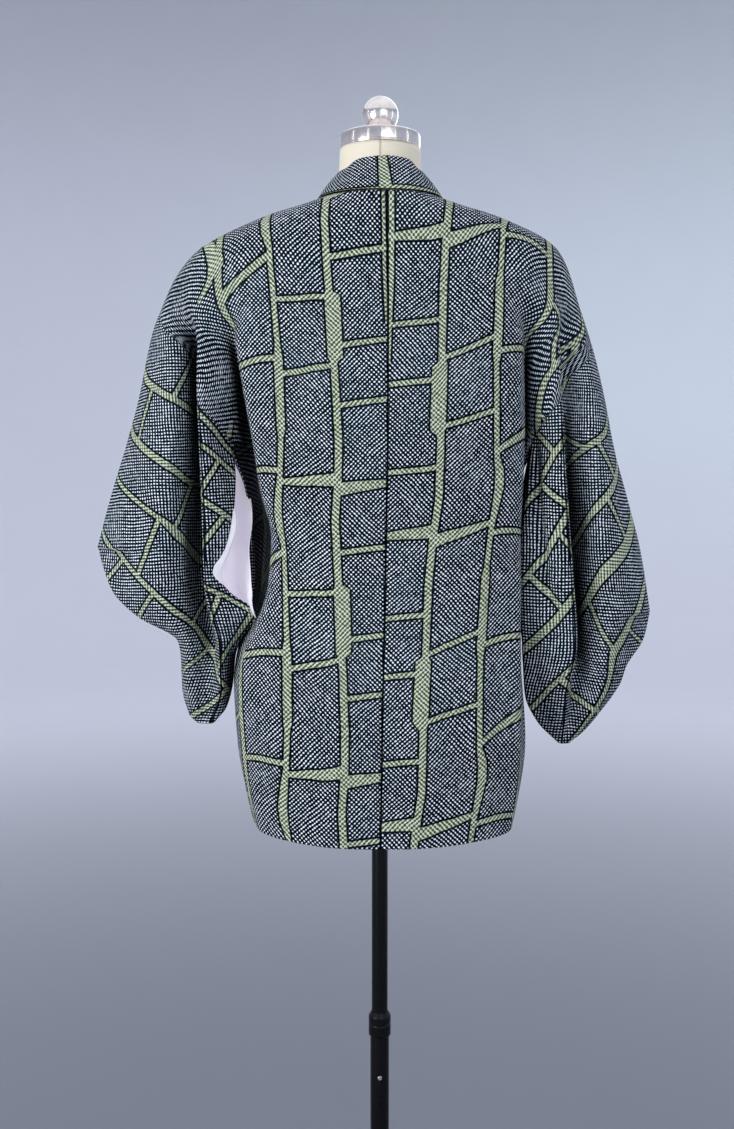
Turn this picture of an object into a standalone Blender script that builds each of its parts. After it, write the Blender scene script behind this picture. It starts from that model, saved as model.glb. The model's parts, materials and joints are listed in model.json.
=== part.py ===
"""Haori jacket hanging on a limbless dress form, front towards -Y, left sleeve towards +X.

The origin is on the floor under the pole. The jacket hangs from one line that runs from the
side of the neck over the shoulder and down the upper fold of the sleeve to the cuff. Every
level of the cloth is a horizontal section: it starts at the centre, runs over the torso into
a valley, out to a ridge, into a crease behind the ridge, over the outer face of the sleeve and
ends at that line. The cut pieces are patches of those sections.
"""
import math

import bmesh
import bpy
import numpy as np

COLLECTION = "haori_jacket_on_dress_form"

# Cloth
WALL = 0.0018
LINING_WALL = 0.0010
LINING_EDGE = 0.0015
LINING_GAP = 0.0012
LINING_LOW_Z = 0.865
SEAM_GAP = 0.0005

# Levels
NECK_Z = 1.457
UNDERARM_Z = 1.155
FOLD_START_Z = 1.385
FOLD_FULL_Z = 1.270
SIDE_HEM_Z = 0.688
BACK_HEM_Z = 0.668
FRONT_HEM_Z = 0.672

# Section shape
ARC_POWER = 2.3
KNOT_STEPS = 8
CROWN_SHARE = 0.55
CROWN_DROP = 0.16
FRONT_DEPTH = 0.85

# Columns between the knots of a section, centre to side seam and outer to inner edge of a sleeve
BODY_LANES = {1: (2, 3, 3, 2), -1: (2, 2, 3, 2)}
SLEEVE_LANES = (3, 4, 2, 3)
LANE_CLEAR = 0.004
NECK_LEVELS = (1.457, 1.449, 1.440, 1.428, 1.411, 1.388, 1.360)
LEVEL_CLEAR = 0.008
SLEEVE_STEP = 0.028
GUSSET_LANES = 2
GUSSET_START = 0.004
GUSSET_INSET = 0.0021
COLLAR_LANES = 3
COLLAR_SEAM = 0.0014
COLLAR_SWELL = 0.004
TORSO_SEGMENTS = 36
TORSO_POWER = 2.3
TORSO_NECK_Z = 1.470
BODY_STEP = 0.045
MITRE_REACH = 0.010
MITRE_TURN = 2.2
SIDES = {"left": 1.0, "right": -1.0}
BACK_KNOTS = ("centre", "edge", "valley", "side")
FRONT_KNOTS = ("centre", "pleat", "edge", "valley", "side")

# Stand
BASE_R, BASE_H = 0.16, 0.022
BASE_EDGE_H, BASE_BOSS = 0.012, 0.022
LOWER_R, LOWER_BORE = 0.0122, 0.0109
UPPER_R = 0.0104
LOCK_Z0, LOCK_Z1, LOCK_R = 0.383, 0.416, 0.0145
LOCK_SLOPE_R, LOCK_SLOPE_H, LOCK_BEVEL = 0.004, 0.006, 0.002
PIN_Z, PIN_R, PIN_H, PIN_BEVEL = 0.331, 0.0028, 0.0016, 0.0006
TUBE_OVERLAP = 0.300
FIT = 0.0003

# Form
NECK_TOP_Z = 1.5235
CAP_R, CAP_H, CAP_BEVEL = 0.0505, 0.0180, 0.0015
BALL_R, BALL_Z = 0.0235, 1.5680
STEM_R, STEM_FOOT_R, STEM_H = 0.0065, 0.0075, 0.003


def table(columns, rows):
    """Named columns from a short table; the first column is what the others are read by."""
    names = columns.split()
    order = sorted(rows)
    return {name: np.array([row[i] for row in order]) for i, name in enumerate(names)}


TOP_LINE = {
    "left": table("z x", [
        (1.457, 0.079), (1.445, 0.117), (1.438, 0.142), (1.425, 0.175), (1.409, 0.209),
        (1.394, 0.233), (1.368, 0.255), (1.335, 0.273), (1.296, 0.289), (1.211, 0.308),
        (1.148, 0.326), (1.084, 0.346), (1.022, 0.363)]),
    "right": table("z x", [
        (1.457, 0.079), (1.445, 0.116), (1.436, 0.148), (1.423, 0.181), (1.409, 0.209),
        (1.394, 0.226), (1.368, 0.239), (1.335, 0.250), (1.275, 0.270), (1.211, 0.286),
        (1.148, 0.299), (1.084, 0.317), (1.020, 0.334), (0.937, 0.348)]),
}
SEAM_TOP_Z = {"left": 1.325, "right": 1.290}

# Cuff edge below the tip of the sleeve, and the lower edge under the sleeve's inner corner.
SLEEVE_RIM = {
    "left": table("z x gap", [
        (1.022, 0.363, 0.000), (0.995, 0.353, 0.012), (0.968, 0.341, 0.020), (0.936, 0.309, 0.026),
        (0.904, 0.258, 0.020), (0.880, 0.256, 0.012), (0.845, 0.256, 0.004), (0.806, 0.247, 0.004),
        (0.797, 0.238, 0.004)]),
    "right": table("z x gap", [
        (0.937, 0.348, 0.000), (0.920, 0.342, 0.012), (0.904, 0.335, 0.020), (0.871, 0.313, 0.026),
        (0.852, 0.308, 0.022), (0.813, 0.285, 0.010), (0.787, 0.266, 0.004), (0.771, 0.247, 0.004)]),
}
SLEEVE_FOLDS = {
    "left": table("z ridge_x ridge_y crease_x crease_y face_x face_y", [
        (1.457, 0.150, 0.060, 0.180, 0.040, 0.210, 0.020),
        (1.325, 0.222, 0.070, 0.236, 0.036, 0.262, 0.036),
        (1.280, 0.221, 0.076, 0.226, 0.018, 0.268, 0.046),
        (1.220, 0.221, 0.078, 0.224, 0.013, 0.276, 0.052),
        (1.155, 0.219, 0.078, 0.223, 0.012, 0.286, 0.056),
        (1.060, 0.215, 0.079, 0.223, 0.012, 0.298, 0.062),
        (0.990, 0.214, 0.080, 0.224, 0.012, 0.296, 0.060),
        (0.936, 0.204, 0.074, 0.218, 0.016, 0.272, 0.054),
        (0.904, 0.198, 0.066, 0.212, 0.024, 0.240, 0.046),
        (0.850, 0.199, 0.050, 0.217, 0.030, 0.242, 0.036),
        (0.797, 0.218, 0.010, 0.226, 0.010, 0.232, 0.008)]),
    "right": table("z ridge_x ridge_y crease_x crease_y face_x face_y", [
        (1.457, 0.150, 0.060, 0.180, 0.040, 0.210, 0.020),
        (1.325, 0.210, 0.074, 0.222, 0.040, 0.240, 0.034),
        (1.280, 0.215, 0.078, 0.221, 0.020, 0.250, 0.044),
        (1.220, 0.218, 0.080, 0.223, 0.013, 0.260, 0.052),
        (1.155, 0.221, 0.080, 0.226, 0.012, 0.272, 0.056),
        (1.060, 0.227, 0.080, 0.232, 0.012, 0.290, 0.062),
        (0.985, 0.233, 0.078, 0.238, 0.012, 0.304, 0.062),
        (0.936, 0.238, 0.074, 0.243, 0.014, 0.312, 0.060),
        (0.900, 0.240, 0.068, 0.247, 0.018, 0.300, 0.054),
        (0.840, 0.232, 0.050, 0.246, 0.026, 0.276, 0.044),
        (0.771, 0.234, 0.010, 0.238, 0.010, 0.243, 0.008)]),
}
# Open inner edge of the sleeve under the armhole, then the sleeve's lower edge.
SLEEVE_INNER = {
    "left": table("z back_x back_y front_x front_y", [
        (1.155, 0.190, 0.016, 0.190, -0.010), (1.108, 0.180, 0.050, 0.176, -0.026),
        (1.060, 0.182, 0.062, 0.165, -0.034), (1.020, 0.194, 0.068, 0.167, -0.034),
        (0.995, 0.202, 0.070, 0.166, -0.030), (0.972, 0.186, 0.062, 0.163, -0.020),
        (0.942, 0.155, 0.058, 0.155, 0.050), (0.915, 0.166, 0.046, 0.166, 0.038),
        (0.890, 0.182, 0.036, 0.182, 0.028), (0.850, 0.188, 0.030, 0.188, 0.022),
        (0.818, 0.196, 0.020, 0.196, 0.012), (0.797, 0.212, 0.008, 0.212, 0.000)]),
    "right": table("z back_x back_y front_x front_y", [
        (1.155, 0.192, 0.016, 0.192, -0.010), (1.100, 0.186, 0.048, 0.188, -0.026),
        (1.060, 0.181, 0.058, 0.184, -0.034), (1.000, 0.180, 0.062, 0.182, -0.034),
        (0.950, 0.180, 0.060, 0.181, -0.020), (0.905, 0.181, 0.050, 0.181, 0.042),
        (0.870, 0.185, 0.040, 0.185, 0.032), (0.835, 0.189, 0.030, 0.189, 0.022),
        (0.800, 0.204, 0.018, 0.204, 0.010), (0.771, 0.228, 0.008, 0.228, 0.000)]),
}
CORNER_Z = {"left": 0.942, "right": 0.905}
CUFF_CLOSED_Z = {"left": 0.848, "right": 0.790}

# Half of the room left for the armhole seam; most where it passes round the ridge.
ARMHOLE_ROOM = table("z room", [
    (1.155, 0.0003), (1.178, 0.0042), (1.245, 0.0035), (1.265, 0.0008), (1.325, 0.0005)])

BODY_BACK = {
    "left": table("z centre_x centre_y edge_x edge_y valley_x valley_y side_x side_y", [
        (1.457, -0.009, 0.0735, 0.060, 0.050, 0.070, 0.030, 0.075, 0.015),
        (1.425, -0.009, 0.0900, 0.110, 0.070, 0.130, 0.050, 0.140, 0.030),
        (1.385, -0.009, 0.1030, 0.160, 0.085, 0.180, 0.070, 0.195, 0.060),
        (1.325, -0.009, 0.1130, 0.170, 0.092, 0.186, 0.068, 0.198, 0.066),
        (1.280, -0.008, 0.1160, 0.168, 0.093, 0.180, 0.050, 0.190, 0.058),
        (1.220, -0.008, 0.1180, 0.160, 0.091, 0.176, 0.032, 0.187, 0.048),
        (1.155, -0.008, 0.1170, 0.149, 0.088, 0.167, 0.024, 0.190, 0.016),
        (1.100, -0.007, 0.1165, 0.141, 0.086, 0.154, 0.034, 0.172, 0.010),
        (1.040, -0.006, 0.1170, 0.127, 0.084, 0.140, 0.038, 0.158, 0.008),
        (0.985, -0.005, 0.1190, 0.130, 0.086, 0.143, 0.046, 0.154, 0.010),
        (0.935, -0.004, 0.1208, 0.138, 0.090, 0.147, 0.060, 0.150, 0.016),
        (0.905, -0.003, 0.1225, 0.150, 0.092, 0.158, 0.060, 0.162, 0.018),
        (0.857, -0.002, 0.1250, 0.156, 0.094, 0.171, 0.058, 0.176, 0.018),
        (0.780, -0.001, 0.1285, 0.155, 0.094, 0.171, 0.058, 0.178, 0.020),
        (0.668, 0.001, 0.1310, 0.140, 0.092, 0.153, 0.058, 0.158, 0.024)]),
    "right": table("z centre_x centre_y edge_x edge_y valley_x valley_y side_x side_y", [
        (1.457, 0.009, 0.0735, 0.060, 0.050, 0.070, 0.030, 0.075, 0.015),
        (1.425, 0.009, 0.0900, 0.110, 0.070, 0.130, 0.050, 0.140, 0.030),
        (1.385, 0.009, 0.1030, 0.160, 0.085, 0.180, 0.070, 0.190, 0.060),
        (1.325, 0.009, 0.1130, 0.168, 0.092, 0.182, 0.066, 0.194, 0.066),
        (1.280, 0.008, 0.1160, 0.168, 0.093, 0.182, 0.046, 0.196, 0.060),
        (1.220, 0.008, 0.1180, 0.168, 0.091, 0.186, 0.030, 0.197, 0.046),
        (1.155, 0.008, 0.1170, 0.169, 0.088, 0.181, 0.026, 0.192, 0.016),
        (1.100, 0.007, 0.1165, 0.169, 0.086, 0.170, 0.034, 0.176, 0.010),
        (1.040, 0.006, 0.1170, 0.168, 0.084, 0.168, 0.038, 0.172, 0.008),
        (0.985, 0.005, 0.1190, 0.168, 0.086, 0.170, 0.046, 0.172, 0.010),
        (0.930, 0.004, 0.1210, 0.166, 0.090, 0.169, 0.058, 0.171, 0.018),
        (0.857, 0.002, 0.1250, 0.165, 0.094, 0.175, 0.060, 0.180, 0.020),
        (0.780, 0.001, 0.1285, 0.164, 0.094, 0.177, 0.060, 0.185, 0.022),
        (0.668, -0.001, 0.1310, 0.152, 0.092, 0.163, 0.058, 0.168, 0.024)]),
}
BODY_FRONT = table("z centre_x centre_y pleat_x pleat_y edge_x edge_y valley_x valley_y side_x side_y", [
    (1.457, 0.0790, -0.000, 0.079, -0.000, 0.079, -0.000, 0.079, -0.000, 0.079, -0.000),
    (1.449, 0.0800, -0.042, 0.085, -0.041, 0.090, -0.038, 0.096, -0.030, 0.101, -0.020),
    (1.425, 0.0840, -0.066, 0.100, -0.064, 0.130, -0.058, 0.150, -0.045, 0.160, -0.028),
    (1.385, 0.0870, -0.094, 0.110, -0.092, 0.155, -0.082, 0.178, -0.060, 0.190, -0.050),
    (1.325, 0.0910, -0.118, 0.116, -0.112, 0.162, -0.094, 0.180, -0.054, 0.193, -0.052),
    (1.280, 0.0930, -0.132, 0.120, -0.122, 0.160, -0.100, 0.178, -0.040, 0.190, -0.046),
    (1.220, 0.0950, -0.143, 0.121, -0.130, 0.158, -0.106, 0.176, -0.030, 0.190, -0.036),
    (1.155, 0.0970, -0.148, 0.122, -0.132, 0.156, -0.108, 0.172, -0.030, 0.190, -0.010),
    (1.100, 0.0985, -0.150, 0.123, -0.131, 0.152, -0.108, 0.162, -0.040, 0.172, -0.014),
    (1.040, 0.1000, -0.152, 0.124, -0.130, 0.148, -0.110, 0.154, -0.052, 0.158, -0.020),
    (0.930, 0.1020, -0.154, 0.126, -0.130, 0.146, -0.114, 0.152, -0.070, 0.153, -0.030),
    (0.857, 0.1030, -0.155, 0.127, -0.130, 0.152, -0.117, 0.168, -0.078, 0.172, -0.036),
    (0.780, 0.1040, -0.156, 0.128, -0.130, 0.155, -0.118, 0.172, -0.082, 0.174, -0.040),
    (0.668, 0.1050, -0.157, 0.129, -0.130, 0.152, -0.118, 0.166, -0.084, 0.162, -0.042)])

# Collar: from the seam round the neck to its free edge.
COLLAR_LEAN = table("station across up", [
    (0.00, 0.011, 0.043), (0.50, 0.013, 0.042), (0.85, 0.019, 0.040), (1.00, 0.022, 0.037),
    (1.10, 0.034, 0.026), (1.25, 0.042, 0.010), (1.50, 0.050, 0.002), (2.00, 0.052, 0.000),
    (3.00, 0.052, 0.000)])

TORSO = table("z half back front", [
    (0.780, 0.154, 0.100, 0.094), (0.800, 0.158, 0.105, 0.100), (0.860, 0.156, 0.105, 0.102),
    (0.930, 0.136, 0.098, 0.100), (1.000, 0.120, 0.084, 0.092), (1.060, 0.114, 0.080, 0.088),
    (1.130, 0.130, 0.092, 0.104), (1.220, 0.146, 0.104, 0.122), (1.300, 0.152, 0.104, 0.106),
    (1.350, 0.168, 0.098, 0.086), (1.390, 0.183, 0.088, 0.066), (1.408, 0.180, 0.080, 0.056),
    (1.425, 0.1645, 0.072, 0.049), (1.438, 0.132, 0.066, 0.046), (1.446, 0.100, 0.062, 0.045),
    (1.457, 0.067, 0.058, 0.045), (1.475, 0.0555, 0.053, 0.046), (1.500, 0.0520, 0.050, 0.048),
    (1.5235, 0.0510, 0.049, 0.049)])


def read(source, name, at, key="z"):
    """Monotone cubic reading of one column of a table."""
    xs, ys = source[key], source[name]
    at = min(max(at, xs[0]), xs[-1])
    i = int(min(max(np.searchsorted(xs, at) - 1, 0), len(xs) - 2))
    steps = np.diff(xs)
    slopes = np.diff(ys) / steps

    def tangent(k):
        if k == 0 or k == len(xs) - 1:
            return slopes[0] if k == 0 else slopes[-1]
        before, after = slopes[k - 1], slopes[k]
        return 0.0 if before * after <= 0 else 2.0 * before * after / (before + after)

    t = (at - xs[i]) / steps[i]
    m0, m1 = tangent(i) * steps[i], tangent(i + 1) * steps[i]
    return float((2 * t**3 - 3 * t**2 + 1) * ys[i] + (t**3 - 2 * t**2 + t) * m0
                 + (3 * t**2 - 2 * t**3) * ys[i + 1] + (t**3 - t**2) * m1)


def smoothstep(low, high, value):
    t = min(max((value - low) / (high - low), 0.0), 1.0)
    return t * t * (3.0 - 2.0 * t)


class Path:
    """A smooth curve through knots, read by the distance along it."""

    def __init__(self, knots, before, after):
        chain = [np.array(p, float) for p in [before, *knots, after]]
        points = [chain[1]]
        for k in range(1, len(chain) - 2):
            a, b, c, d = chain[k - 1:k + 3]
            ab, bc, cd = (max(math.sqrt(np.linalg.norm(q - p)), 1e-4) for p, q in ((a, b), (b, c), (c, d)))
            out = (b - a) / ab - (c - a) / (ab + bc) + (c - b) / bc
            into = (c - b) / bc - (d - b) / (bc + cd) + (d - c) / cd
            for step in range(1, KNOT_STEPS + 1):
                t = step / KNOT_STEPS
                points.append((2 * t**3 - 3 * t**2 + 1) * b + (3 * t**2 - 2 * t**3) * c
                              + (t**3 - 2 * t**2 + t) * out * bc + (t**3 - t**2) * into * bc)
        self.points = np.array(points)
        self.at = np.concatenate([[0.0], np.cumsum(np.linalg.norm(np.diff(self.points, axis=0), axis=1))])
        self.length = self.at[-1]

    def spots(self, marks):
        """Distances of places given in spans between knots."""
        return np.interp(marks * KNOT_STEPS, np.arange(len(self.at)), self.at)

    def read(self, distance):
        return [float(np.interp(distance, self.at, self.points[:, axis])) for axis in (0, 1)]


class Garment:
    """One side of the jacket, worked out at positive x and mirrored for the right side."""

    def __init__(self, side):
        self.side = side
        self.top = TOP_LINE[side]
        self.rim = SLEEVE_RIM[side]
        self.folds = SLEEVE_FOLDS[side]
        self.inner = SLEEVE_INNER[side]
        self.tip_z = float(self.top["z"][0])
        self.seam_z = SEAM_TOP_Z[side]
        self.cache = {}

    def rim_point(self, face, z):
        if z >= self.tip_z:
            return read(self.top, "x", z), 0.0
        return read(self.rim, "x", z), face * read(self.rim, "gap", z)

    def body_knots(self, face, z):
        source = BODY_BACK[self.side] if face > 0 else BODY_FRONT
        names = BACK_KNOTS if face > 0 else FRONT_KNOTS
        knots = [(read(source, n + "_x", z), read(source, n + "_y", z)) for n in names]
        if face > 0:
            centre, edge = (np.array(k) for k in knots[:2])
            knots.insert(1, tuple(centre + (edge - centre) * (CROWN_SHARE, CROWN_DROP)))
        return knots

    def sleeve_knots(self, face, z):
        depth = 1.0 if face > 0 else -FRONT_DEPTH
        knots = [(read(self.folds, n + "_x", z), depth * read(self.folds, n + "_y", z))
                 for n in ("ridge", "crease", "face")]
        return knots + [self.rim_point(face, z)]

    def arc_knots(self, face, z, count):
        """The same knots on a plain rounded shoulder."""
        source = BODY_BACK[self.side] if face > 0 else BODY_FRONT
        x0, y0 = read(source, "centre_x", z), read(source, "centre_y", z)
        x1 = read(self.top, "x", z)
        power = 2 / ARC_POWER
        return [(x0 + (x1 - x0) * math.sin(a) ** power, y0 * max(math.cos(a), 0.0) ** power)
                for a in np.linspace(0.0, 0.5 * math.pi, count)]

    def section(self, face, z):
        """Whole level from the centre to the upper fold, above the armhole's lower end."""
        key = ("whole", face, round(z, 6))
        if key not in self.cache:
            folded = self.body_knots(face, z) + self.sleeve_knots(face, z)
            plain = self.arc_knots(face, z, len(folded))
            part = 1.0 - smoothstep(FOLD_FULL_Z, FOLD_START_Z, z)
            knots = [tuple(part * np.array(f) + (1 - part) * np.array(p)) for f, p in zip(folded, plain)]
            mirror = (2 * knots[0][0] - knots[1][0], knots[1][1])
            over = (knots[-2][0], -knots[-2][1])
            self.cache[key] = Path(knots, mirror, over)
        return self.cache[key]

    def body_section(self, face, z):
        """Level of a body panel under the armhole, from the centre to the gusset."""
        key = ("body", face, round(z, 6))
        if key not in self.cache:
            knots = self.body_knots(face, z)
            mirror = (2 * knots[0][0] - knots[1][0], knots[1][1])
            self.cache[key] = Path(knots, mirror, self.body_knots(-face, z)[-1])
        return self.cache[key]

    def gusset_section(self, z):
        """Level of the gusset, from the side seam of the back to that of the front."""
        back, front = self.body_knots(1, z), self.body_knots(-1, z)
        return Path([back[-1], front[-1]], back[-2], front[-2])

    def sleeve_section(self, face, z):
        """Level of the sleeve from its outer edge to its inner edge."""
        key = ("sleeve", face, round(z, 6))
        if key not in self.cache:
            name = "back" if face > 0 else "front"
            inner = (read(self.inner, name + "_x", z), read(self.inner, name + "_y", z))
            knots = [inner] + self.sleeve_knots(face, z)
            knots.reverse()
            before = 2 * np.array(knots[0]) - np.array(knots[1])
            if z > self.tip_z:
                before = (knots[1][0], -knots[1][1])
            self.cache[key] = Path(knots, before, 2 * np.array(knots[-1]) - np.array(knots[-2]))
        return self.cache[key]

    def seam_reach(self, face, z):
        """Distance from the upper fold to the armhole seam along a level."""
        whole = self.section(face, UNDERARM_Z).length - self.body_section(face, UNDERARM_Z).length
        return whole * min(max((self.seam_z - z) / (self.seam_z - UNDERARM_Z), 0.0), 1.0)

    def seam_limit(self, face, z):
        """Distance from the centre to the armhole seam, or to the upper fold above it."""
        return self.section(face, z).length - self.seam_reach(face, z)

    def seam_inset(self, face, z):
        """Room on each side of the seam, with the mitre of the walls where the level bends."""
        path, at = self.section(face, z), self.seam_limit(face, z)
        low, here, high = (np.array(path.read(at + step)) for step in (-MITRE_REACH, 0.0, MITRE_REACH))
        into, out = here - low, high - here
        cross = into[0] * out[1] - into[1] * out[0]
        turn = -face * math.atan2(cross, float(into @ out))
        room = read(ARMHOLE_ROOM, "room", z)
        return room + WALL * math.tan(min(max(turn, 0.0), MITRE_TURN) / 2)

    def body_row(self, face, z):
        """Points of a body panel at one level, centre to seam."""
        lanes = BODY_LANES[face]
        if z <= UNDERARM_Z:
            path = self.body_section(face, z)
            spots = list(path.spots(lane_marks(lanes)))
            spots[-1] -= SEAM_GAP / 2
        else:
            path = self.section(face, z)
            beyond = len(lanes) + len(SLEEVE_LANES) - lane_marks(SLEEVE_LANES)[::-1][1:]
            limit = self.seam_limit(face, z)
            if z <= self.seam_z:
                limit -= self.seam_inset(face, z)
            spots = list(path.spots(np.concatenate([lane_marks(lanes), beyond])))
            spots = [d for d in spots if d < limit - LANE_CLEAR] + [limit]
        if face > 0:
            spots[0] += SEAM_GAP / 2
        return [(*path.read(d), z) for d in spots]

    def sleeve_row(self, face, z, trim=0.0):
        """Points of one side of the sleeve at one level, outer edge to inner edge."""
        marks = lane_marks(SLEEVE_LANES)
        if z <= UNDERARM_Z:
            path = self.sleeve_section(face, z)
            spots = path.spots(marks)
            spots[-1] -= SEAM_GAP + trim
            if z < self.tip_z:
                spots[0] += trim
            return [(*path.read(d), z) for d in spots]
        path = self.section(face, z)
        seam = self.seam_limit(face, z) + self.seam_inset(face, z)
        spots = path.spots(len(BODY_LANES[face]) + len(SLEEVE_LANES) - marks)
        return [(*path.read(d), z) for d in [d for d in spots if d > seam + LANE_CLEAR] + [seam]]


def lane_marks(lanes):
    """Column places in spans: 0 at the first knot, 1 at the second and so on."""
    marks = [span + k / count for span, count in enumerate(lanes) for k in range(count)]
    return np.array(marks + [float(len(lanes))])


def material(name, colour, roughness, metallic=0.0):
    made = bpy.data.materials.new(name)
    made.use_nodes = True
    shader = made.node_tree.nodes["Principled BSDF"]
    shader.inputs["Base Color"].default_value = (*colour, 1.0)
    shader.inputs["Roughness"].default_value = roughness
    shader.inputs["Metallic"].default_value = metallic
    return made


def add_object(name, mesh, finish, home):
    obj = bpy.data.objects.new(name, mesh)
    mesh.materials.append(finish)
    home.objects.link(obj)
    return obj


def wall(obj, thickness):
    shell = obj.modifiers.new("wall", "SOLIDIFY")
    shell.thickness = thickness
    shell.offset = -1.0
    shell.use_even_offset = False
    return obj


class Patch:
    """Points and faces of an open sheet; the right side is the mirror image of the left."""

    def __init__(self, sign):
        self.sign = sign
        self.points = []
        self.faces = []

    def row(self, points):
        start = len(self.points)
        self.points += [(self.sign * x, y, z) for x, y, z in points]
        return list(range(start, len(self.points)))

    def face(self, *corners):
        kept = [c for k, c in enumerate(corners) if c != corners[k - 1]]
        self.faces.append(kept if self.sign > 0 else kept[::-1])

    def between(self, upper, lower, turn=False):
        """Quads between two rows of points; a row of one point makes a fan."""
        for k in range(max(len(upper), len(lower)) - 1):
            a, b = (upper[min(k + s, len(upper) - 1)] for s in (0, 1))
            c, d = (lower[min(k + s, len(lower) - 1)] for s in (0, 1))
            if turn:
                self.face(a, b, d, c)
            else:
                self.face(a, c, d, b)

    def mesh(self, name):
        mesh = bpy.data.meshes.new(name)
        mesh.from_pydata(self.points, [], self.faces)
        mesh.shade_smooth()
        return mesh


def levels_down(start, end, step=SLEEVE_STEP):
    count = max(int(math.ceil((start - end) / step)), 1)
    return [start + (end - start) * k / count for k in range(1, count + 1)]


def body_levels(half, hem):
    top = [z for z in NECK_LEVELS if z > half.seam_z + LEVEL_CLEAR]
    middle = levels_down(half.seam_z, UNDERARM_Z)
    return top + [half.seam_z] + middle + levels_down(UNDERARM_Z, hem, BODY_STEP)


def dropped(points, z, hem):
    """Lets the lower edge sink from the side seam towards the centre."""
    share = (UNDERARM_Z - z) / (UNDERARM_Z - SIDE_HEM_Z)
    if share <= 0:
        return points
    last = len(points) - 1
    deep = (hem - SIDE_HEM_Z) * share
    return [(x, y, z + deep * (1 - (k / last) ** 2)) for k, (x, y, _) in enumerate(points)]


def body_rows(side):
    """Levels of one half: points of the back and of the front, both from the centre outwards."""
    half = Garment(side)
    rows = []
    for z in body_levels(half, SIDE_HEM_Z):
        back = dropped(half.body_row(1, z), z, BACK_HEM_Z)
        front = dropped(half.body_row(-1, z), z, FRONT_HEM_Z)
        if z == NECK_Z:
            front = [back[-1]]
        elif z > half.seam_z:
            front[-1] = back[-1]
        rows.append((z, back, front))
    return rows


def body_panel(side, finish, home):
    """Back and front of one half, in one length of cloth over the shoulder."""
    patch = Patch(SIDES[side])
    above = None
    for z, back_points, front_points in body_rows(side):
        back = patch.row(back_points)
        if front_points[-1] == back_points[-1]:
            front = patch.row(front_points[:-1]) + [back[-1]]
        else:
            front = patch.row(front_points)
        if above:
            patch.between(above[0], back, turn=True)
            patch.between(above[1], front)
        above = (back, front)
    return wall(add_object("body_" + side, patch.mesh("body_" + side), finish, home), WALL)


def sleeve_patch(side, trim=0.0):
    """Both sides of the sleeve; with a trim, only from the underarm down and short of the edges."""
    half = Garment(side)
    patch = Patch(SIDES[side])
    low = float(half.rim["z"][0])
    levels = levels_down(half.seam_z, UNDERARM_Z) + levels_down(UNDERARM_Z, CORNER_Z[side])
    levels += levels_down(CORNER_Z[side], low)
    back = front = None
    if trim:
        levels = [z for z in levels if LINING_LOW_Z < z <= UNDERARM_Z]
    else:
        back = front = patch.row([(*half.rim_point(1, half.seam_z - SEAM_GAP), half.seam_z - SEAM_GAP)])
    for z in levels:
        new_back = patch.row(half.sleeve_row(1, z, trim))
        new_front = patch.row(half.sleeve_row(-1, z, trim))
        if z > half.tip_z:
            new_front[0] = new_back[0]
        if back is None:
            back, front = new_back, new_front
            continue
        patch.between(back, new_back)
        patch.between(front, new_front, turn=True)
        if z < CORNER_Z[side] - 1e-6:
            patch.face(back[-1], new_back[-1], new_front[-1], front[-1])
        if z < CUFF_CLOSED_Z[side]:
            patch.face(back[0], front[0], new_front[0], new_back[0])
        back, front = new_back, new_front
    if not trim:
        for k in range(len(back) - 1):
            patch.face(back[k], front[k], front[k + 1], back[k + 1])
    return patch


def sleeve(side, finish, home):
    name = "sleeve_" + side
    return wall(add_object(name, sleeve_patch(side).mesh(name), finish, home), WALL)


def lining(side, finish, home):
    """Lower part of the sleeve's lining, seen through the open inner edge."""
    name = "lining_" + side
    bm = bmesh.new()
    bm.from_mesh(sleeve_patch(side, LINING_EDGE).mesh(name))
    bm.normal_update()
    moved = [v.co - v.normal * v.calc_shell_factor() * (WALL + LINING_GAP) for v in bm.verts]
    for vert, place in zip(bm.verts, moved):
        vert.co = place
    mesh = bpy.data.meshes.new(name)
    bm.to_mesh(mesh)
    bm.free()
    mesh.shade_smooth()
    return wall(add_object(name, mesh, finish, home), LINING_WALL)


def gusset(side, finish, home):
    """Narrow wedge between the side seams of the back and the front."""
    half = Garment(side)
    patch = Patch(SIDES[side])
    above = None
    for z in [UNDERARM_Z - GUSSET_START] + levels_down(UNDERARM_Z, SIDE_HEM_Z, BODY_STEP):
        path = half.gusset_section(z)
        inset = GUSSET_INSET / path.length
        shares = np.linspace(inset, 1 - inset, GUSSET_LANES + 1)
        new = patch.row([(*path.read(path.length * t), z) for t in shares])
        if above:
            patch.between(above, new, turn=True)
        above = new
    name = "gusset_" + side
    return wall(add_object(name, patch.mesh(name), finish, home), WALL)


def collar_rows(side):
    """Rows across the collar, from the centre back round the neck and down the front edge."""
    rows = body_rows(side)
    neck = rows[0][1]
    spots = [(k / (len(neck) - 1), point) for k, point in enumerate(neck)]
    run = NECK_Z - FRONT_HEM_Z
    spots += [(1 + 2 * (NECK_Z - z) / run, front[0]) for z, _, front in rows[1:]]
    made = []
    for k, (station, (x, y, z)) in enumerate(spots):
        if station < 1:
            back, ahead = spots[max(k - 1, 0)][1], spots[k + 1][1]
            along = np.array([ahead[0] - back[0], ahead[1] - back[1]])
            along /= np.linalg.norm(along)
            inward = np.array([along[1], -along[0]])
        else:
            inward = np.array([-1.0, 0.0])
        across = read(COLLAR_LEAN, "across", station, "station")
        up = read(COLLAR_LEAN, "up", station, "station")
        height = math.hypot(across, up)
        gap = COLLAR_SEAM / height
        row = []
        for lane in range(COLLAR_LANES + 1):
            t = gap + (1 - gap) * lane / COLLAR_LANES
            swell = COLLAR_SWELL * math.sin(math.pi * t)
            side_way = across * t - swell * up / height
            px, py = np.array([x, y]) + inward * side_way
            row.append((px, py, z + up * t + swell * across / height))
        made.append(row)
    return made


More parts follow.
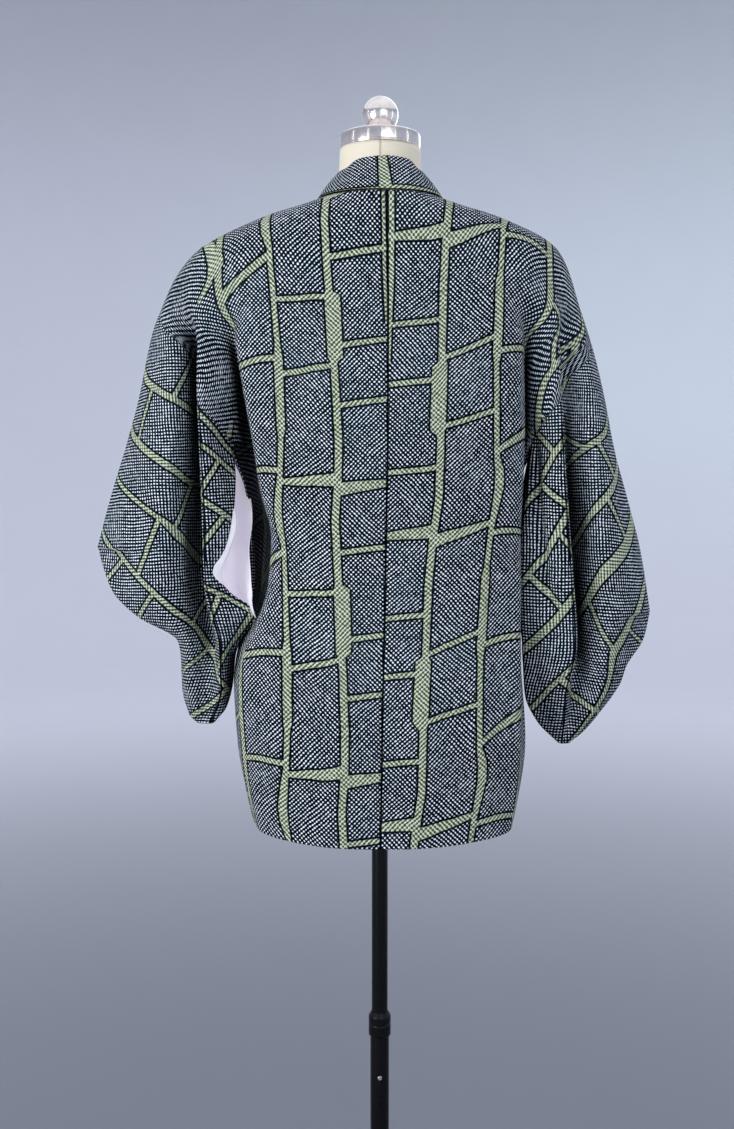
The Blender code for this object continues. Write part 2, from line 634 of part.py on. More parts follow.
def collar(finish, home):
    """One strip from hem to hem round the neck."""
    patch = Patch(1.0)
    left, right = collar_rows("left"), collar_rows("right")
    rows = [[(-x, y, z) for x, y, z in row] for row in reversed(right[1:])] + left
    above = None
    for points in rows:
        new = patch.row(points)
        if above:
            patch.between(above, new)
        above = new
    return wall(add_object("collar", patch.mesh("collar"), finish, home), WALL)


def turned(name, profile, finish, home, steps=40):
    """A profile of radius and height, top to bottom down its outer side, turned round Z."""
    mesh = bpy.data.meshes.new(name)
    mesh.from_pydata([(r, 0.0, z) for r, z in profile], [(k, k + 1) for k in range(len(profile) - 1)], [])
    obj = add_object(name, mesh, finish, home)
    screw = obj.modifiers.new("turn", "SCREW")
    screw.steps = steps
    screw.render_steps = steps
    screw.use_merge_vertices = True
    screw.merge_threshold = 0.00005
    return obj


def arc(centre_r, centre_z, radius, start, end, count):
    """Points of a rounded stretch; angles in degrees from the +X direction."""
    angles = [math.radians(start + (end - start) * k / count) for k in range(count + 1)]
    return [(max(centre_r + radius * math.cos(a), 0.0), centre_z + radius * math.sin(a)) for a in angles]


def torso(finish, home):
    """Smooth limbless body with shoulder caps and a neck, closed at both ends."""
    bm = bmesh.new()
    rings = []
    for z in TORSO["z"]:
        half, back, front = (read(TORSO, n, z) for n in ("half", "back", "front"))
        ring = []
        for k in range(TORSO_SEGMENTS):
            a = 2 * math.pi * k / TORSO_SEGMENTS
            c, s = math.cos(a), math.sin(a)
            power = 2 / TORSO_POWER if z < TORSO_NECK_Z else 1.0
            x = half * math.copysign(abs(c) ** power, c)
            y = (back if s > 0 else front) * math.copysign(abs(s) ** power, s)
            ring.append(bm.verts.new((x, y, z)))
        rings.append(ring)
    for low, high in zip(rings, rings[1:]):
        for k in range(TORSO_SEGMENTS):
            j = (k + 1) % TORSO_SEGMENTS
            bm.faces.new((low[k], low[j], high[j], high[k]))
    bm.faces.new(rings[0][::-1])
    bm.faces.new(rings[-1])
    mesh = bpy.data.meshes.new("torso")
    bm.to_mesh(mesh)
    bm.free()
    mesh.shade_smooth()
    return add_object("torso", mesh, finish, home)


def stand(steel, black, home):
    """Base, telescoping pole with its lock collar and pin, neck cap and ball."""
    edge_r = BASE_EDGE_H / 2
    turned("base", [
        (0.0, BASE_H), (LOWER_R + BASE_BOSS, BASE_H), (BASE_R - BASE_EDGE_H, BASE_EDGE_H),
        *arc(BASE_R - edge_r, edge_r, edge_r, 80, -80, 4),
        (BASE_R - BASE_EDGE_H, 0.0), (0.0, 0.0)], black, home, 40)
    low, high = BASE_H + FIT, LOCK_Z0 - FIT
    turned("lower_tube", [
        (LOWER_BORE, high), (LOWER_R, high), (LOWER_R, low), (LOWER_BORE, low),
        (LOWER_BORE, high)], black, home, 28)
    bore = UPPER_R + FIT
    turned("lock_collar", [
        (bore, LOCK_Z1), (LOCK_R - LOCK_SLOPE_R, LOCK_Z1), (LOCK_R, LOCK_Z1 - LOCK_SLOPE_H),
        (LOCK_R, LOCK_Z0 + LOCK_BEVEL), (LOCK_R - LOCK_BEVEL, LOCK_Z0), (bore, LOCK_Z0),
        (bore, LOCK_Z1)], black, home, 28)
    low, high = LOCK_Z0 - TUBE_OVERLAP, float(TORSO["z"][0]) - FIT
    turned("upper_tube", [(0.0, high), (UPPER_R, high), (UPPER_R, low), (0.0, low)], black, home, 28)
    low, high = NECK_TOP_Z + FIT, NECK_TOP_Z + FIT + CAP_H
    turned("neck_cap", [
        (0.0, high), (CAP_R - CAP_BEVEL, high), (CAP_R, high - CAP_BEVEL), (CAP_R, low),
        (0.0, low)], steel, home, 48)
    foot = high + FIT
    neck = foot + STEM_H
    start = math.degrees(math.asin((neck - BALL_Z) / BALL_R))
    turned("finial", [
        *arc(0.0, BALL_Z, BALL_R, 90, start, 10), (STEM_R, neck), (STEM_FOOT_R, foot),
        (0.0, foot)], steel, home, 24)
    pin = turned("pin", [
        (0.0, PIN_H), (PIN_R - PIN_BEVEL, PIN_H), (PIN_R, PIN_H - PIN_BEVEL), (PIN_R, 0.0),
        (0.0, 0.0)], steel, home, 16)
    pin.location = (0.0, LOWER_R + FIT, PIN_Z)
    pin.rotation_euler = (-0.5 * math.pi, 0.0, 0.0)


def build():
    for obj in list(bpy.data.objects):
        bpy.data.objects.remove(obj, do_unlink=True)
    home = bpy.data.collections.new(COLLECTION)
    bpy.context.scene.collection.children.link(home)
    shibori = material("tie_dyed_silk", (0.10, 0.17, 0.19), 0.72)
    linen = material("ivory_linen", (0.84, 0.80, 0.70), 0.85)
    steel = material("brushed_steel", (0.62, 0.62, 0.63), 0.28, 1.0)
    habutai = material("white_habutai", (0.80, 0.78, 0.82), 0.60)
    black = material("black_enamel", (0.015, 0.015, 0.017), 0.32)
    for side in SIDES:
        body_panel(side, shibori, home)
        sleeve(side, shibori, home)
        gusset(side, shibori, home)
    lining("left", habutai, home)
    collar(shibori, home)
    torso(linen, home)
    stand(steel, black, home)


build()
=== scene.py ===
"""Dress of a haori jacket that hangs on a limbless form, front towards -Y, left sleeve towards +X.

The cloth is cut, folded and hung by the same sections as its solids, as thin dense sheets that
carry their own cloth coordinates: metres across and along the cloth, which the tie-dyed dots and
the bands between the fields are laid out by.
"""
import json
import math

import bmesh
import bpy
import numpy as np
from mathutils import Matrix, Vector
from mathutils.bvhtree import BVHTree

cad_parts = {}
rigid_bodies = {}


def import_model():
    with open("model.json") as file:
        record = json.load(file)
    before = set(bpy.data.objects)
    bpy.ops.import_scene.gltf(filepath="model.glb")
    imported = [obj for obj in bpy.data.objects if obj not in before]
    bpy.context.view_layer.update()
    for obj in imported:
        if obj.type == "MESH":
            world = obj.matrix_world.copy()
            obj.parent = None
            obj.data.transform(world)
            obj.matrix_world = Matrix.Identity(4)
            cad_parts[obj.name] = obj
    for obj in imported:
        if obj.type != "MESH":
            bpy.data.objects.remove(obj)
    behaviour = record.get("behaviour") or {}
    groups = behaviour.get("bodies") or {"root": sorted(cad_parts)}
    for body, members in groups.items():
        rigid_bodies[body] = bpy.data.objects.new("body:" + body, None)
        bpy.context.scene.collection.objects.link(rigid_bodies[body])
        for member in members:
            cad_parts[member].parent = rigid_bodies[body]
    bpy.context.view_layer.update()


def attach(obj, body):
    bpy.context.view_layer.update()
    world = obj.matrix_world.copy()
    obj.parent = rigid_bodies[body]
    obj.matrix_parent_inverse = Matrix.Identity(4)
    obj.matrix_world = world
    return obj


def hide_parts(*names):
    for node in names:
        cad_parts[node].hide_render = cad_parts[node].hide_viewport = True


bl_info = {
    "name": "Haori Jacket on Dress Form",
    "version": (1, 0, 0),
    "blender": (4, 5, 0),
    "location": "View3D > Sidebar > Haori",
    "description": "Dresses the solids of a haori on its form in cloth, linen, steel and enamel",
    "category": "Object",
}

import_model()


# Levels
NECK_Z = 1.457
UNDERARM_Z = 1.155
FOLD_START_Z = 1.385
FOLD_FULL_Z = 1.270
SIDE_HEM_Z = 0.688
BACK_HEM_Z = 0.668
FRONT_HEM_Z = 0.672

# Section shape
ARC_POWER = 2.3
KNOT_STEPS, KNOT_NEAR = 20, 1e-4
CROWN_SHARE = 0.55
CROWN_DROP = 0.16
FRONT_DEPTH = 0.85
SIDES = {"left": 1.0, "right": -1.0}
BACK_KNOTS = ("centre", "edge", "valley", "side")
FRONT_KNOTS = ("centre", "pleat", "edge", "valley", "side")


def table(columns, rows):
    """Named columns from a short table; the first column is what the others are read by."""
    names = columns.split()
    order = sorted(rows)
    return {name: np.array([row[i] for row in order]) for i, name in enumerate(names)}


# Upper line of the shoulder and the sleeve, down to the sleeve's tip.
TOP_LINE = {
    "left": table("z x", [
        (1.457, 0.079), (1.445, 0.117), (1.438, 0.142), (1.425, 0.175), (1.409, 0.209),
        (1.394, 0.233), (1.368, 0.255), (1.335, 0.273), (1.296, 0.289), (1.211, 0.308),
        (1.148, 0.326), (1.084, 0.346), (1.022, 0.363)]),
    "right": table("z x", [
        (1.457, 0.079), (1.445, 0.116), (1.436, 0.148), (1.423, 0.181), (1.409, 0.209),
        (1.394, 0.226), (1.368, 0.239), (1.335, 0.250), (1.275, 0.270), (1.211, 0.286),
        (1.148, 0.299), (1.084, 0.317), (1.020, 0.334), (0.937, 0.348)]),
}
SEAM_TOP_Z = {"left": 1.325, "right": 1.290}

# Outer edge of the sleeve below its tip: the open cuff, then the closed lower part. The gap is
# half of the cuff's opening.
SLEEVE_RIM = {
    "left": table("z x gap", [
        (1.022, 0.363, 0.000), (0.995, 0.353, 0.012), (0.968, 0.341, 0.020), (0.936, 0.309, 0.026),
        (0.904, 0.258, 0.020), (0.880, 0.256, 0.012), (0.845, 0.256, 0.004), (0.806, 0.247, 0.004),
        (0.797, 0.238, 0.004)]),
    "right": table("z x gap", [
        (0.937, 0.348, 0.000), (0.920, 0.342, 0.012), (0.904, 0.335, 0.020), (0.871, 0.313, 0.026),
        (0.852, 0.308, 0.022), (0.813, 0.285, 0.010), (0.787, 0.266, 0.004), (0.771, 0.247, 0.004)]),
}
# Knots of the sleeve's back on each level, between its inner and its outer edge; the front has
# the same ones, less deep.
SLEEVE_FOLDS = {
    "left": table("z ridge_x ridge_y crease_x crease_y face_x face_y", [
        (1.457, 0.150, 0.060, 0.180, 0.040, 0.210, 0.020),
        (1.325, 0.220, 0.071, 0.2285, 0.062, 0.256, 0.044),
        (1.280, 0.220, 0.076, 0.225, 0.024, 0.253, 0.054),
        (1.220, 0.221, 0.078, 0.224, 0.013, 0.255, 0.056),
        (1.155, 0.219, 0.078, 0.223, 0.012, 0.258, 0.060),
        (1.060, 0.215, 0.079, 0.223, 0.012, 0.266, 0.064),
        (0.990, 0.214, 0.080, 0.224, 0.012, 0.268, 0.062),
        (0.936, 0.204, 0.074, 0.219, 0.016, 0.256, 0.056),
        (0.904, 0.198, 0.066, 0.212, 0.024, 0.240, 0.046),
        (0.850, 0.199, 0.050, 0.217, 0.030, 0.242, 0.036),
        (0.797, 0.218, 0.010, 0.226, 0.010, 0.232, 0.008)]),
    "right": table("z ridge_x ridge_y crease_x crease_y face_x face_y", [
        (1.457, 0.150, 0.060, 0.180, 0.040, 0.210, 0.020),
        (1.325, 0.208, 0.074, 0.2160, 0.064, 0.238, 0.044),
        (1.280, 0.213, 0.078, 0.2200, 0.056, 0.247, 0.050),
        (1.220, 0.217, 0.080, 0.2230, 0.050, 0.258, 0.056),
        (1.155, 0.221, 0.080, 0.2265, 0.036, 0.262, 0.060),
        (1.060, 0.227, 0.080, 0.233, 0.012, 0.270, 0.064),
        (0.985, 0.233, 0.078, 0.240, 0.012, 0.279, 0.064),
        (0.936, 0.238, 0.074, 0.245, 0.014, 0.285, 0.062),
        (0.900, 0.240, 0.068, 0.247, 0.018, 0.280, 0.056),
        (0.840, 0.232, 0.050, 0.246, 0.026, 0.276, 0.044),
        (0.771, 0.234, 0.010, 0.238, 0.010, 0.243, 0.008)]),
}
# Inner edge of the sleeve under the armhole, open down to its corner and closed below.
SLEEVE_INNER = {
    "left": table("z back_x back_y front_x front_y", [
        (1.155, 0.183, 0.040, 0.190, -0.010), (1.108, 0.178, 0.054, 0.170, -0.026),
        (1.060, 0.181, 0.062, 0.156, -0.034), (1.020, 0.192, 0.068, 0.160, -0.034),
        (0.995, 0.201, 0.070, 0.158, -0.030), (0.972, 0.186, 0.062, 0.156, -0.020),
        (0.942, 0.150, 0.058, 0.150, 0.050), (0.915, 0.168, 0.046, 0.168, 0.038),
        (0.890, 0.182, 0.036, 0.182, 0.028), (0.850, 0.187, 0.030, 0.187, 0.022),
        (0.818, 0.196, 0.020, 0.196, 0.012), (0.797, 0.212, 0.008, 0.212, 0.000)]),
    "right": table("z back_x back_y front_x front_y", [
        (1.155, 0.186, 0.042, 0.192, -0.010), (1.100, 0.181, 0.052, 0.184, -0.026),
        (1.060, 0.175, 0.058, 0.179, -0.034), (1.000, 0.173, 0.061, 0.177, -0.034),
        (0.950, 0.174, 0.059, 0.176, -0.020), (0.905, 0.176, 0.050, 0.176, 0.042),
        (0.870, 0.179, 0.040, 0.179, 0.032), (0.835, 0.183, 0.030, 0.183, 0.022),
        (0.800, 0.200, 0.018, 0.200, 0.010), (0.771, 0.228, 0.008, 0.228, 0.000)]),
}
CORNER_Z = {"left": 0.942, "right": 0.905}
CUFF_CLOSED_Z = {"left": 0.848, "right": 0.790}

# Knots of the body lengths on each level, from the centre to the side seam.
BODY_BACK = {
    "left": table("z centre_x centre_y edge_x edge_y valley_x valley_y side_x side_y", [
        (1.457, -0.005, 0.0735, 0.060, 0.050, 0.070, 0.030, 0.075, 0.015),
        (1.425, -0.006, 0.0900, 0.110, 0.070, 0.130, 0.050, 0.140, 0.030),
        (1.385, -0.007, 0.1030, 0.160, 0.085, 0.180, 0.070, 0.195, 0.060),
        (1.325, -0.008, 0.1130, 0.170, 0.092, 0.186, 0.074, 0.200, 0.072),
        (1.280, -0.008, 0.1160, 0.168, 0.093, 0.180, 0.054, 0.191, 0.066),
        (1.220, -0.008, 0.1180, 0.160, 0.091, 0.169, 0.032, 0.183, 0.060),
        (1.155, -0.008, 0.1170, 0.149, 0.088, 0.163, 0.024, 0.183, 0.040),
        (1.100, -0.007, 0.1165, 0.141, 0.086, 0.154, 0.034, 0.172, 0.010),
        (1.040, -0.006, 0.1170, 0.127, 0.084, 0.142, 0.038, 0.162, 0.008),
        (0.985, -0.005, 0.1190, 0.130, 0.086, 0.145, 0.046, 0.160, 0.010),
        (0.935, -0.004, 0.1208, 0.145, 0.090, 0.156, 0.060, 0.167, 0.016),
        (0.905, -0.003, 0.1225, 0.157, 0.092, 0.168, 0.060, 0.178, 0.018),
        (0.885, -0.003, 0.1235, 0.162, 0.093, 0.174, 0.060, 0.183, 0.018),
        (0.857, -0.002, 0.1250, 0.162, 0.094, 0.177, 0.060, 0.186, 0.018),
        (0.780, -0.001, 0.1285, 0.157, 0.094, 0.174, 0.058, 0.182, 0.020),
        (0.668, 0.001, 0.1310, 0.140, 0.092, 0.153, 0.058, 0.158, 0.024)]),
    "right": table("z centre_x centre_y edge_x edge_y valley_x valley_y side_x side_y", [
        (1.457, 0.005, 0.0735, 0.060, 0.050, 0.070, 0.030, 0.075, 0.015),
        (1.425, 0.006, 0.0900, 0.110, 0.070, 0.130, 0.050, 0.140, 0.030),
        (1.385, 0.007, 0.1030, 0.160, 0.085, 0.180, 0.070, 0.190, 0.060),
        (1.325, 0.008, 0.1130, 0.168, 0.092, 0.182, 0.074, 0.194, 0.072),
        (1.280, 0.008, 0.1160, 0.167, 0.093, 0.178, 0.056, 0.188, 0.068),
        (1.220, 0.008, 0.1180, 0.167, 0.091, 0.174, 0.034, 0.184, 0.062),
        (1.155, 0.008, 0.1170, 0.168, 0.088, 0.174, 0.026, 0.186, 0.042),
        (1.100, 0.007, 0.1165, 0.169, 0.086, 0.170, 0.034, 0.176, 0.010),
        (1.040, 0.006, 0.1170, 0.168, 0.084, 0.168, 0.038, 0.172, 0.008),
        (0.985, 0.005, 0.1190, 0.168, 0.086, 0.170, 0.046, 0.172, 0.010),
        (0.930, 0.004, 0.1210, 0.166, 0.090, 0.169, 0.058, 0.171, 0.018),
        (0.857, 0.002, 0.1250, 0.165, 0.094, 0.175, 0.060, 0.180, 0.020),
        (0.780, 0.001, 0.1285, 0.164, 0.094, 0.177, 0.060, 0.185, 0.022),
        (0.668, -0.001, 0.1310, 0.152, 0.092, 0.163, 0.058, 0.168, 0.024)]),
}
BODY_FRONT = table("z centre_x centre_y pleat_x pleat_y edge_x edge_y valley_x valley_y side_x side_y", [
    (1.457, 0.0790, -0.000, 0.079, -0.000, 0.079, -0.000, 0.079, -0.000, 0.079, -0.000),
    (1.449, 0.0800, -0.042, 0.085, -0.041, 0.090, -0.038, 0.096, -0.030, 0.101, -0.020),
    (1.425, 0.0840, -0.066, 0.100, -0.064, 0.130, -0.058, 0.150, -0.045, 0.160, -0.028),
    (1.385, 0.0870, -0.094, 0.110, -0.092, 0.155, -0.082, 0.178, -0.060, 0.190, -0.050),
    (1.325, 0.0910, -0.118, 0.116, -0.112, 0.162, -0.094, 0.180, -0.054, 0.193, -0.052),
    (1.280, 0.0930, -0.132, 0.120, -0.122, 0.160, -0.100, 0.178, -0.040, 0.190, -0.046),
    (1.220, 0.0950, -0.143, 0.121, -0.130, 0.158, -0.106, 0.176, -0.030, 0.190, -0.036),
    (1.155, 0.0970, -0.148, 0.122, -0.132, 0.156, -0.108, 0.172, -0.030, 0.190, -0.010),
    (1.100, 0.0985, -0.150, 0.123, -0.131, 0.152, -0.108, 0.162, -0.040, 0.172, -0.014),
    (1.040, 0.1000, -0.152, 0.124, -0.130, 0.148, -0.110, 0.154, -0.052, 0.158, -0.020),
    (0.930, 0.1020, -0.154, 0.126, -0.130, 0.146, -0.114, 0.152, -0.070, 0.153, -0.030),
    (0.857, 0.1030, -0.155, 0.127, -0.130, 0.152, -0.117, 0.168, -0.078, 0.172, -0.036),
    (0.780, 0.1040, -0.156, 0.128, -0.130, 0.155, -0.118, 0.172, -0.082, 0.174, -0.040),
    (0.668, 0.1050, -0.157, 0.129, -0.130, 0.152, -0.118, 0.166, -0.084, 0.162, -0.042)])

# Collar: how far its free edge lies across and up from its seam. Station 0 is the centre back,
# 1 the side of the neck and 3 the front hem.
COLLAR_LEAN = table("station across up", [
    (0.00, 0.011, 0.043), (0.25, 0.014, 0.041), (0.50, 0.0215, 0.033), (0.85, 0.024, 0.031),
    (1.00, 0.026, 0.030), (1.10, 0.034, 0.026), (1.25, 0.042, 0.010), (1.50, 0.050, 0.002),
    (2.00, 0.052, 0.000), (3.00, 0.052, 0.000)])

# Form under its cover: half its width, and its depth behind and in front of the axis.
TORSO = table("z half back front", [
    (0.780, 0.154, 0.100, 0.094), (0.800, 0.158, 0.105, 0.100), (0.860, 0.156, 0.105, 0.102),
    (0.930, 0.136, 0.098, 0.100), (1.000, 0.120, 0.084, 0.092), (1.060, 0.114, 0.080, 0.088),
    (1.130, 0.130, 0.092, 0.104), (1.220, 0.146, 0.104, 0.122), (1.300, 0.152, 0.104, 0.106),
    (1.350, 0.168, 0.098, 0.086), (1.390, 0.183, 0.088, 0.066), (1.408, 0.180, 0.080, 0.056),
    (1.425, 0.1645, 0.072, 0.049), (1.438, 0.132, 0.066, 0.046), (1.446, 0.100, 0.062, 0.045),
    (1.457, 0.067, 0.058, 0.045), (1.475, 0.0555, 0.053, 0.046), (1.500, 0.0520, 0.050, 0.048),
    (1.5235, 0.0510, 0.049, 0.049)])


def read(source, name, at, key="z"):
    """Monotone cubic reading of one column of a table."""
    xs, ys = source[key], source[name]
    at = min(max(at, xs[0]), xs[-1])
    i = int(min(max(np.searchsorted(xs, at) - 1, 0), len(xs) - 2))
    steps = np.diff(xs)
    slopes = np.diff(ys) / steps

    def tangent(k):
        if k == 0 or k == len(xs) - 1:
            return slopes[0] if k == 0 else slopes[-1]
        before, after = slopes[k - 1], slopes[k]
        return 0.0 if before * after <= 0 else 2.0 * before * after / (before + after)

    t = (at - xs[i]) / steps[i]
    m0, m1 = tangent(i) * steps[i], tangent(i + 1) * steps[i]
    return float(hermite(ys[i], ys[i + 1], m0, m1, t))


def hermite(start, end, leave, arrive, t):
    """A cubic between two values, with its slopes at both ends over the whole span."""
    return ((2 * t**3 - 3 * t**2 + 1) * start + (3 * t**2 - 2 * t**3) * end
            + (t**3 - 2 * t**2 + t) * leave + (t**3 - t**2) * arrive)


def eased(share):
    """A share from 0 to 1, made smooth at both ends."""
    return share * share * (3.0 - 2.0 * share)


def smoothstep(low, high, value):
    return eased(min(max((value - low) / (high - low), 0.0), 1.0))


def hump(foot, head, z):
    """1 between two ranges of levels, easing to 0 down the foot and up the head."""
    return smoothstep(*foot, z) * smoothstep(*head, sum(head) - z)


def mirrored(knots):
    """The knot that would come before the first, seen over the centre line."""
    return 2 * knots[0][0] - knots[1][0], knots[1][1]


def over(knot):
    """The same knot on the other side of the upper fold."""
    return knot[0], -knot[1]


class Path:
    """A smooth curve through knots, read by the distance along it."""

    def __init__(self, knots, before, after):
        chain = [np.array(p, float) for p in [before, *knots, after]]
        points = [chain[1]]
        for k in range(1, len(chain) - 2):
            a, b, c, d = chain[k - 1:k + 3]
            ab, bc, cd = (max(math.sqrt(np.linalg.norm(q - p)), KNOT_NEAR)
                          for p, q in ((a, b), (b, c), (c, d)))
            leave = ((b - a) / ab - (c - a) / (ab + bc) + (c - b) / bc) * bc
            arrive = ((c - b) / bc - (d - b) / (bc + cd) + (d - c) / cd) * bc
            for step in range(1, KNOT_STEPS + 1):
                points.append(hermite(b, c, leave, arrive, step / KNOT_STEPS))
        self.points = np.array(points)
        self.at = np.concatenate([[0.0], np.cumsum(np.linalg.norm(np.diff(self.points, axis=0), axis=1))])
        self.length = self.at[-1]

    def spots(self, marks):
        """Distances of places given in spans between knots."""
        return np.interp(marks * KNOT_STEPS, np.arange(len(self.at)), self.at)


class Garment:
    """One side of the jacket, worked out at positive x and mirrored for the right side."""

    def __init__(self, side):
        self.side = side
        self.top = TOP_LINE[side]
        self.rim = SLEEVE_RIM[side]
        self.folds = SLEEVE_FOLDS[side]
        self.inner = SLEEVE_INNER[side]
        self.tip_z = float(self.top["z"][0])
        self.seam_z = SEAM_TOP_Z[side]
        self.cache = {}

    def rim_point(self, face, z):
        """Outer end of a level: on the upper fold, or on one side of the cuff."""
        if z >= self.tip_z:
            return read(self.top, "x", z), 0.0
        return read(self.rim, "x", z), face * read(self.rim, "gap", z)

    def body_knots(self, face, z):
        """Knots of the body length from its centre, with one more on the crown of the back."""
        source = BODY_BACK[self.side] if face > 0 else BODY_FRONT
        names = BACK_KNOTS if face > 0 else FRONT_KNOTS
        knots = [(read(source, n + "_x", z), read(source, n + "_y", z)) for n in names]
        if face > 0:
            centre, edge = (np.array(k) for k in knots[:2])
            knots.insert(1, tuple(centre + (edge - centre) * (CROWN_SHARE, CROWN_DROP)))
        return knots

    def sleeve_knots(self, face, z):
        depth = 1.0 if face > 0 else -FRONT_DEPTH
        knots = [(read(self.folds, n + "_x", z), depth * read(self.folds, n + "_y", z))
                 for n in ("ridge", "crease", "face")]
        return knots + [self.rim_point(face, z)]

    def arc_knots(self, face, z, count):
        """The same knots on a plain rounded shoulder."""
        source = BODY_BACK[self.side] if face > 0 else BODY_FRONT
        x0, y0 = read(source, "centre_x", z), read(source, "centre_y", z)
        x1 = read(self.top, "x", z)
        power = 2 / ARC_POWER
        return [(x0 + (x1 - x0) * math.sin(a) ** power, y0 * max(math.cos(a), 0.0) ** power)
                for a in np.linspace(0.0, 0.5 * math.pi, count)]

    def section(self, face, z):
        """Whole level from the centre to the upper fold, above the armhole's lower end."""
        key = ("whole", face, round(z, 6))
        if key not in self.cache:
            folded = self.body_knots(face, z) + self.sleeve_knots(face, z)
            plain = self.arc_knots(face, z, len(folded))
            part = 1.0 - smoothstep(FOLD_FULL_Z, FOLD_START_Z, z)
            knots = [tuple(part * np.array(f) + (1 - part) * np.array(p)) for f, p in zip(folded, plain)]
            self.cache[key] = Path(knots, mirrored(knots), over(knots[-2]))
        return self.cache[key]

    def body_section(self, face, z):
        """Level of a body panel under the armhole, from the centre to the gusset."""
        key = ("body", face, round(z, 6))
        if key not in self.cache:
            knots = self.body_knots(face, z)
            self.cache[key] = Path(knots, mirrored(knots), self.body_knots(-face, z)[-1])
        return self.cache[key]

    def gusset_section(self, z):
        """Level of the gusset, from the side seam of the back to that of the front."""
        back, front = self.body_knots(1, z), self.body_knots(-1, z)
        return Path([back[-1], front[-1]], back[-2], front[-2])

    def sleeve_section(self, face, z):
        """Level of the sleeve from its outer edge to its inner edge."""
        key = ("sleeve", face, round(z, 6))
        if key not in self.cache:
            name = "back" if face > 0 else "front"
            inner = (read(self.inner, name + "_x", z), read(self.inner, name + "_y", z))
            knots = [inner] + self.sleeve_knots(face, z)
            knots.reverse()
            before = 2 * np.array(knots[0]) - np.array(knots[1])
            if z > self.tip_z:
                before = over(knots[1])
            self.cache[key] = Path(knots, before, 2 * np.array(knots[-1]) - np.array(knots[-2]))
        return self.cache[key]

    def plain_length(self, face, z):
        """Length of the level on the plain rounded shoulder, without its folds."""
        count = len(self.body_knots(face, z)) + len(self.sleeve_knots(face, z))
        knots = self.arc_knots(face, z, count)
        return Path(knots, mirrored(knots), over(knots[-2])).length

    def seam_reach(self, face, z):
        """Distance from the upper fold to the armhole seam along a level."""
        whole = self.section(face, UNDERARM_Z).length - self.body_section(face, UNDERARM_Z).length
        return whole * min(max((self.seam_z - z) / (self.seam_z - UNDERARM_Z), 0.0), 1.0)

    def seam_limit(self, face, z):
        """Distance from the centre to the armhole seam, or to the upper fold above it."""
        return self.section(face, z).length - self.seam_reach(face, z)


class Sheet:
    """Points, faces and cloth coordinates of a sheet; the right side is the mirror image."""

    def __init__(self, sign=1.0):
        self.sign = sign
        self.points = []
        self.cloth = []
        self.sink = []
        self.tuck = []
        self.faces = []

    def row(self, points, cloth, sink=None, tuck=None):
        """Adds points with their cloth coordinates, seam depths and painted underarm shade, and gives their
        numbers.
        """
        start = len(self.points)
        self.points += [(self.sign * p[0], p[1], p[2]) for p in points]
        self.cloth += [tuple(c) for c in cloth]
        self.sink += list(sink) if sink is not None else [0.0] * len(points)
        self.tuck += list(tuck) if tuck is not None else [0.0] * len(points)
        return list(range(start, len(self.points)))

    def between(self, upper, lower, turn=False):
        """Faces between two rows, with three corners where two of the four are one point."""
        for k in range(len(upper) - 1):
            corners = [upper[k], lower[k], lower[k + 1], upper[k + 1]]
            kept = [c for i, c in enumerate(corners) if c != corners[i - 1]]
            if len(kept) > 2:
                flip = turn != (self.sign < 0)
                self.faces.append(kept[::-1] if flip else kept)

    def mesh(self, name, shift=None):
        """The finished mesh; shift moves each point along its normal by what it gives for the cloth."""
        mesh = bpy.data.meshes.new(name)
        mesh.from_pydata(self.points, [], self.faces)
        mesh.update()
        count = len(self.points)
        normals = np.empty(count * 3)
        mesh.vertices.foreach_get("normal", normals)
        normals = normals.reshape(-1, 3)
        places = np.array(self.points)
        depth = -np.array(self.sink)
        if shift is not None:
            depth = depth + shift(np.array(self.cloth), places)
        places = places + normals * depth[:, None]
        mesh.vertices.foreach_set("co", places.astype(np.float32).ravel())
        corners = np.empty(len(mesh.loops), dtype=np.int32)
        mesh.loops.foreach_get("vertex_index", corners)
        cloth = np.array(self.cloth)
        layer = mesh.uv_layers.new(name="cloth")
        layer.data.foreach_set("uv", cloth[corners].astype(np.float32).ravel())
        tuck = mesh.attributes.new("tuck", "FLOAT", "POINT")
        tuck.data.foreach_set("value", np.array(self.tuck, dtype=np.float32))
        mesh.shade_smooth()
        mesh.update()
        return mesh


# Tie-dyed chart of one repeat, in metres. A line runs along the cloth: stations of place along,
# place across and half width. A bar joins two lines: the field it crosses, its place at the
# inner and the outer line and its half width there.
REPEAT = 0.355
SLANT = 0.04
LINES = [
    [(0.000, 0.0725, 0.0042), (0.045, 0.0770, 0.0042), (0.115, 0.0750, 0.0042),
     (0.127, 0.0745, 0.0042), (0.129, 0.0710, 0.0092), (0.208, 0.0700, 0.0088),
     (0.210, 0.0720, 0.0042), (0.215, 0.0720, 0.0040), (0.300, 0.0705, 0.0042)],
    [(0.000, 0.1440, 0.0032), (0.050, 0.1510, 0.0056), (0.070, 0.1500, 0.0056),
     (0.090, 0.1450, 0.0032), (0.200, 0.1390, 0.0032), (0.215, 0.1390, 0.0052),
     (0.300, 0.1400, 0.0050), (0.310, 0.1410, 0.0032)],
    [(0.000, 0.2090, 0.0040), (0.120, 0.2120, 0.0046), (0.240, 0.2070, 0.0038)],
    [(0.000, 0.2770, 0.0035), (0.180, 0.2740, 0.0040)],
    [(0.000, 0.3460, 0.0040), (0.180, 0.3480, 0.0036)],
]
EDGES = (0.0, 0.412)
OUT_OF_SIGHT = 1.0
EXTRA_REACH = 0.008
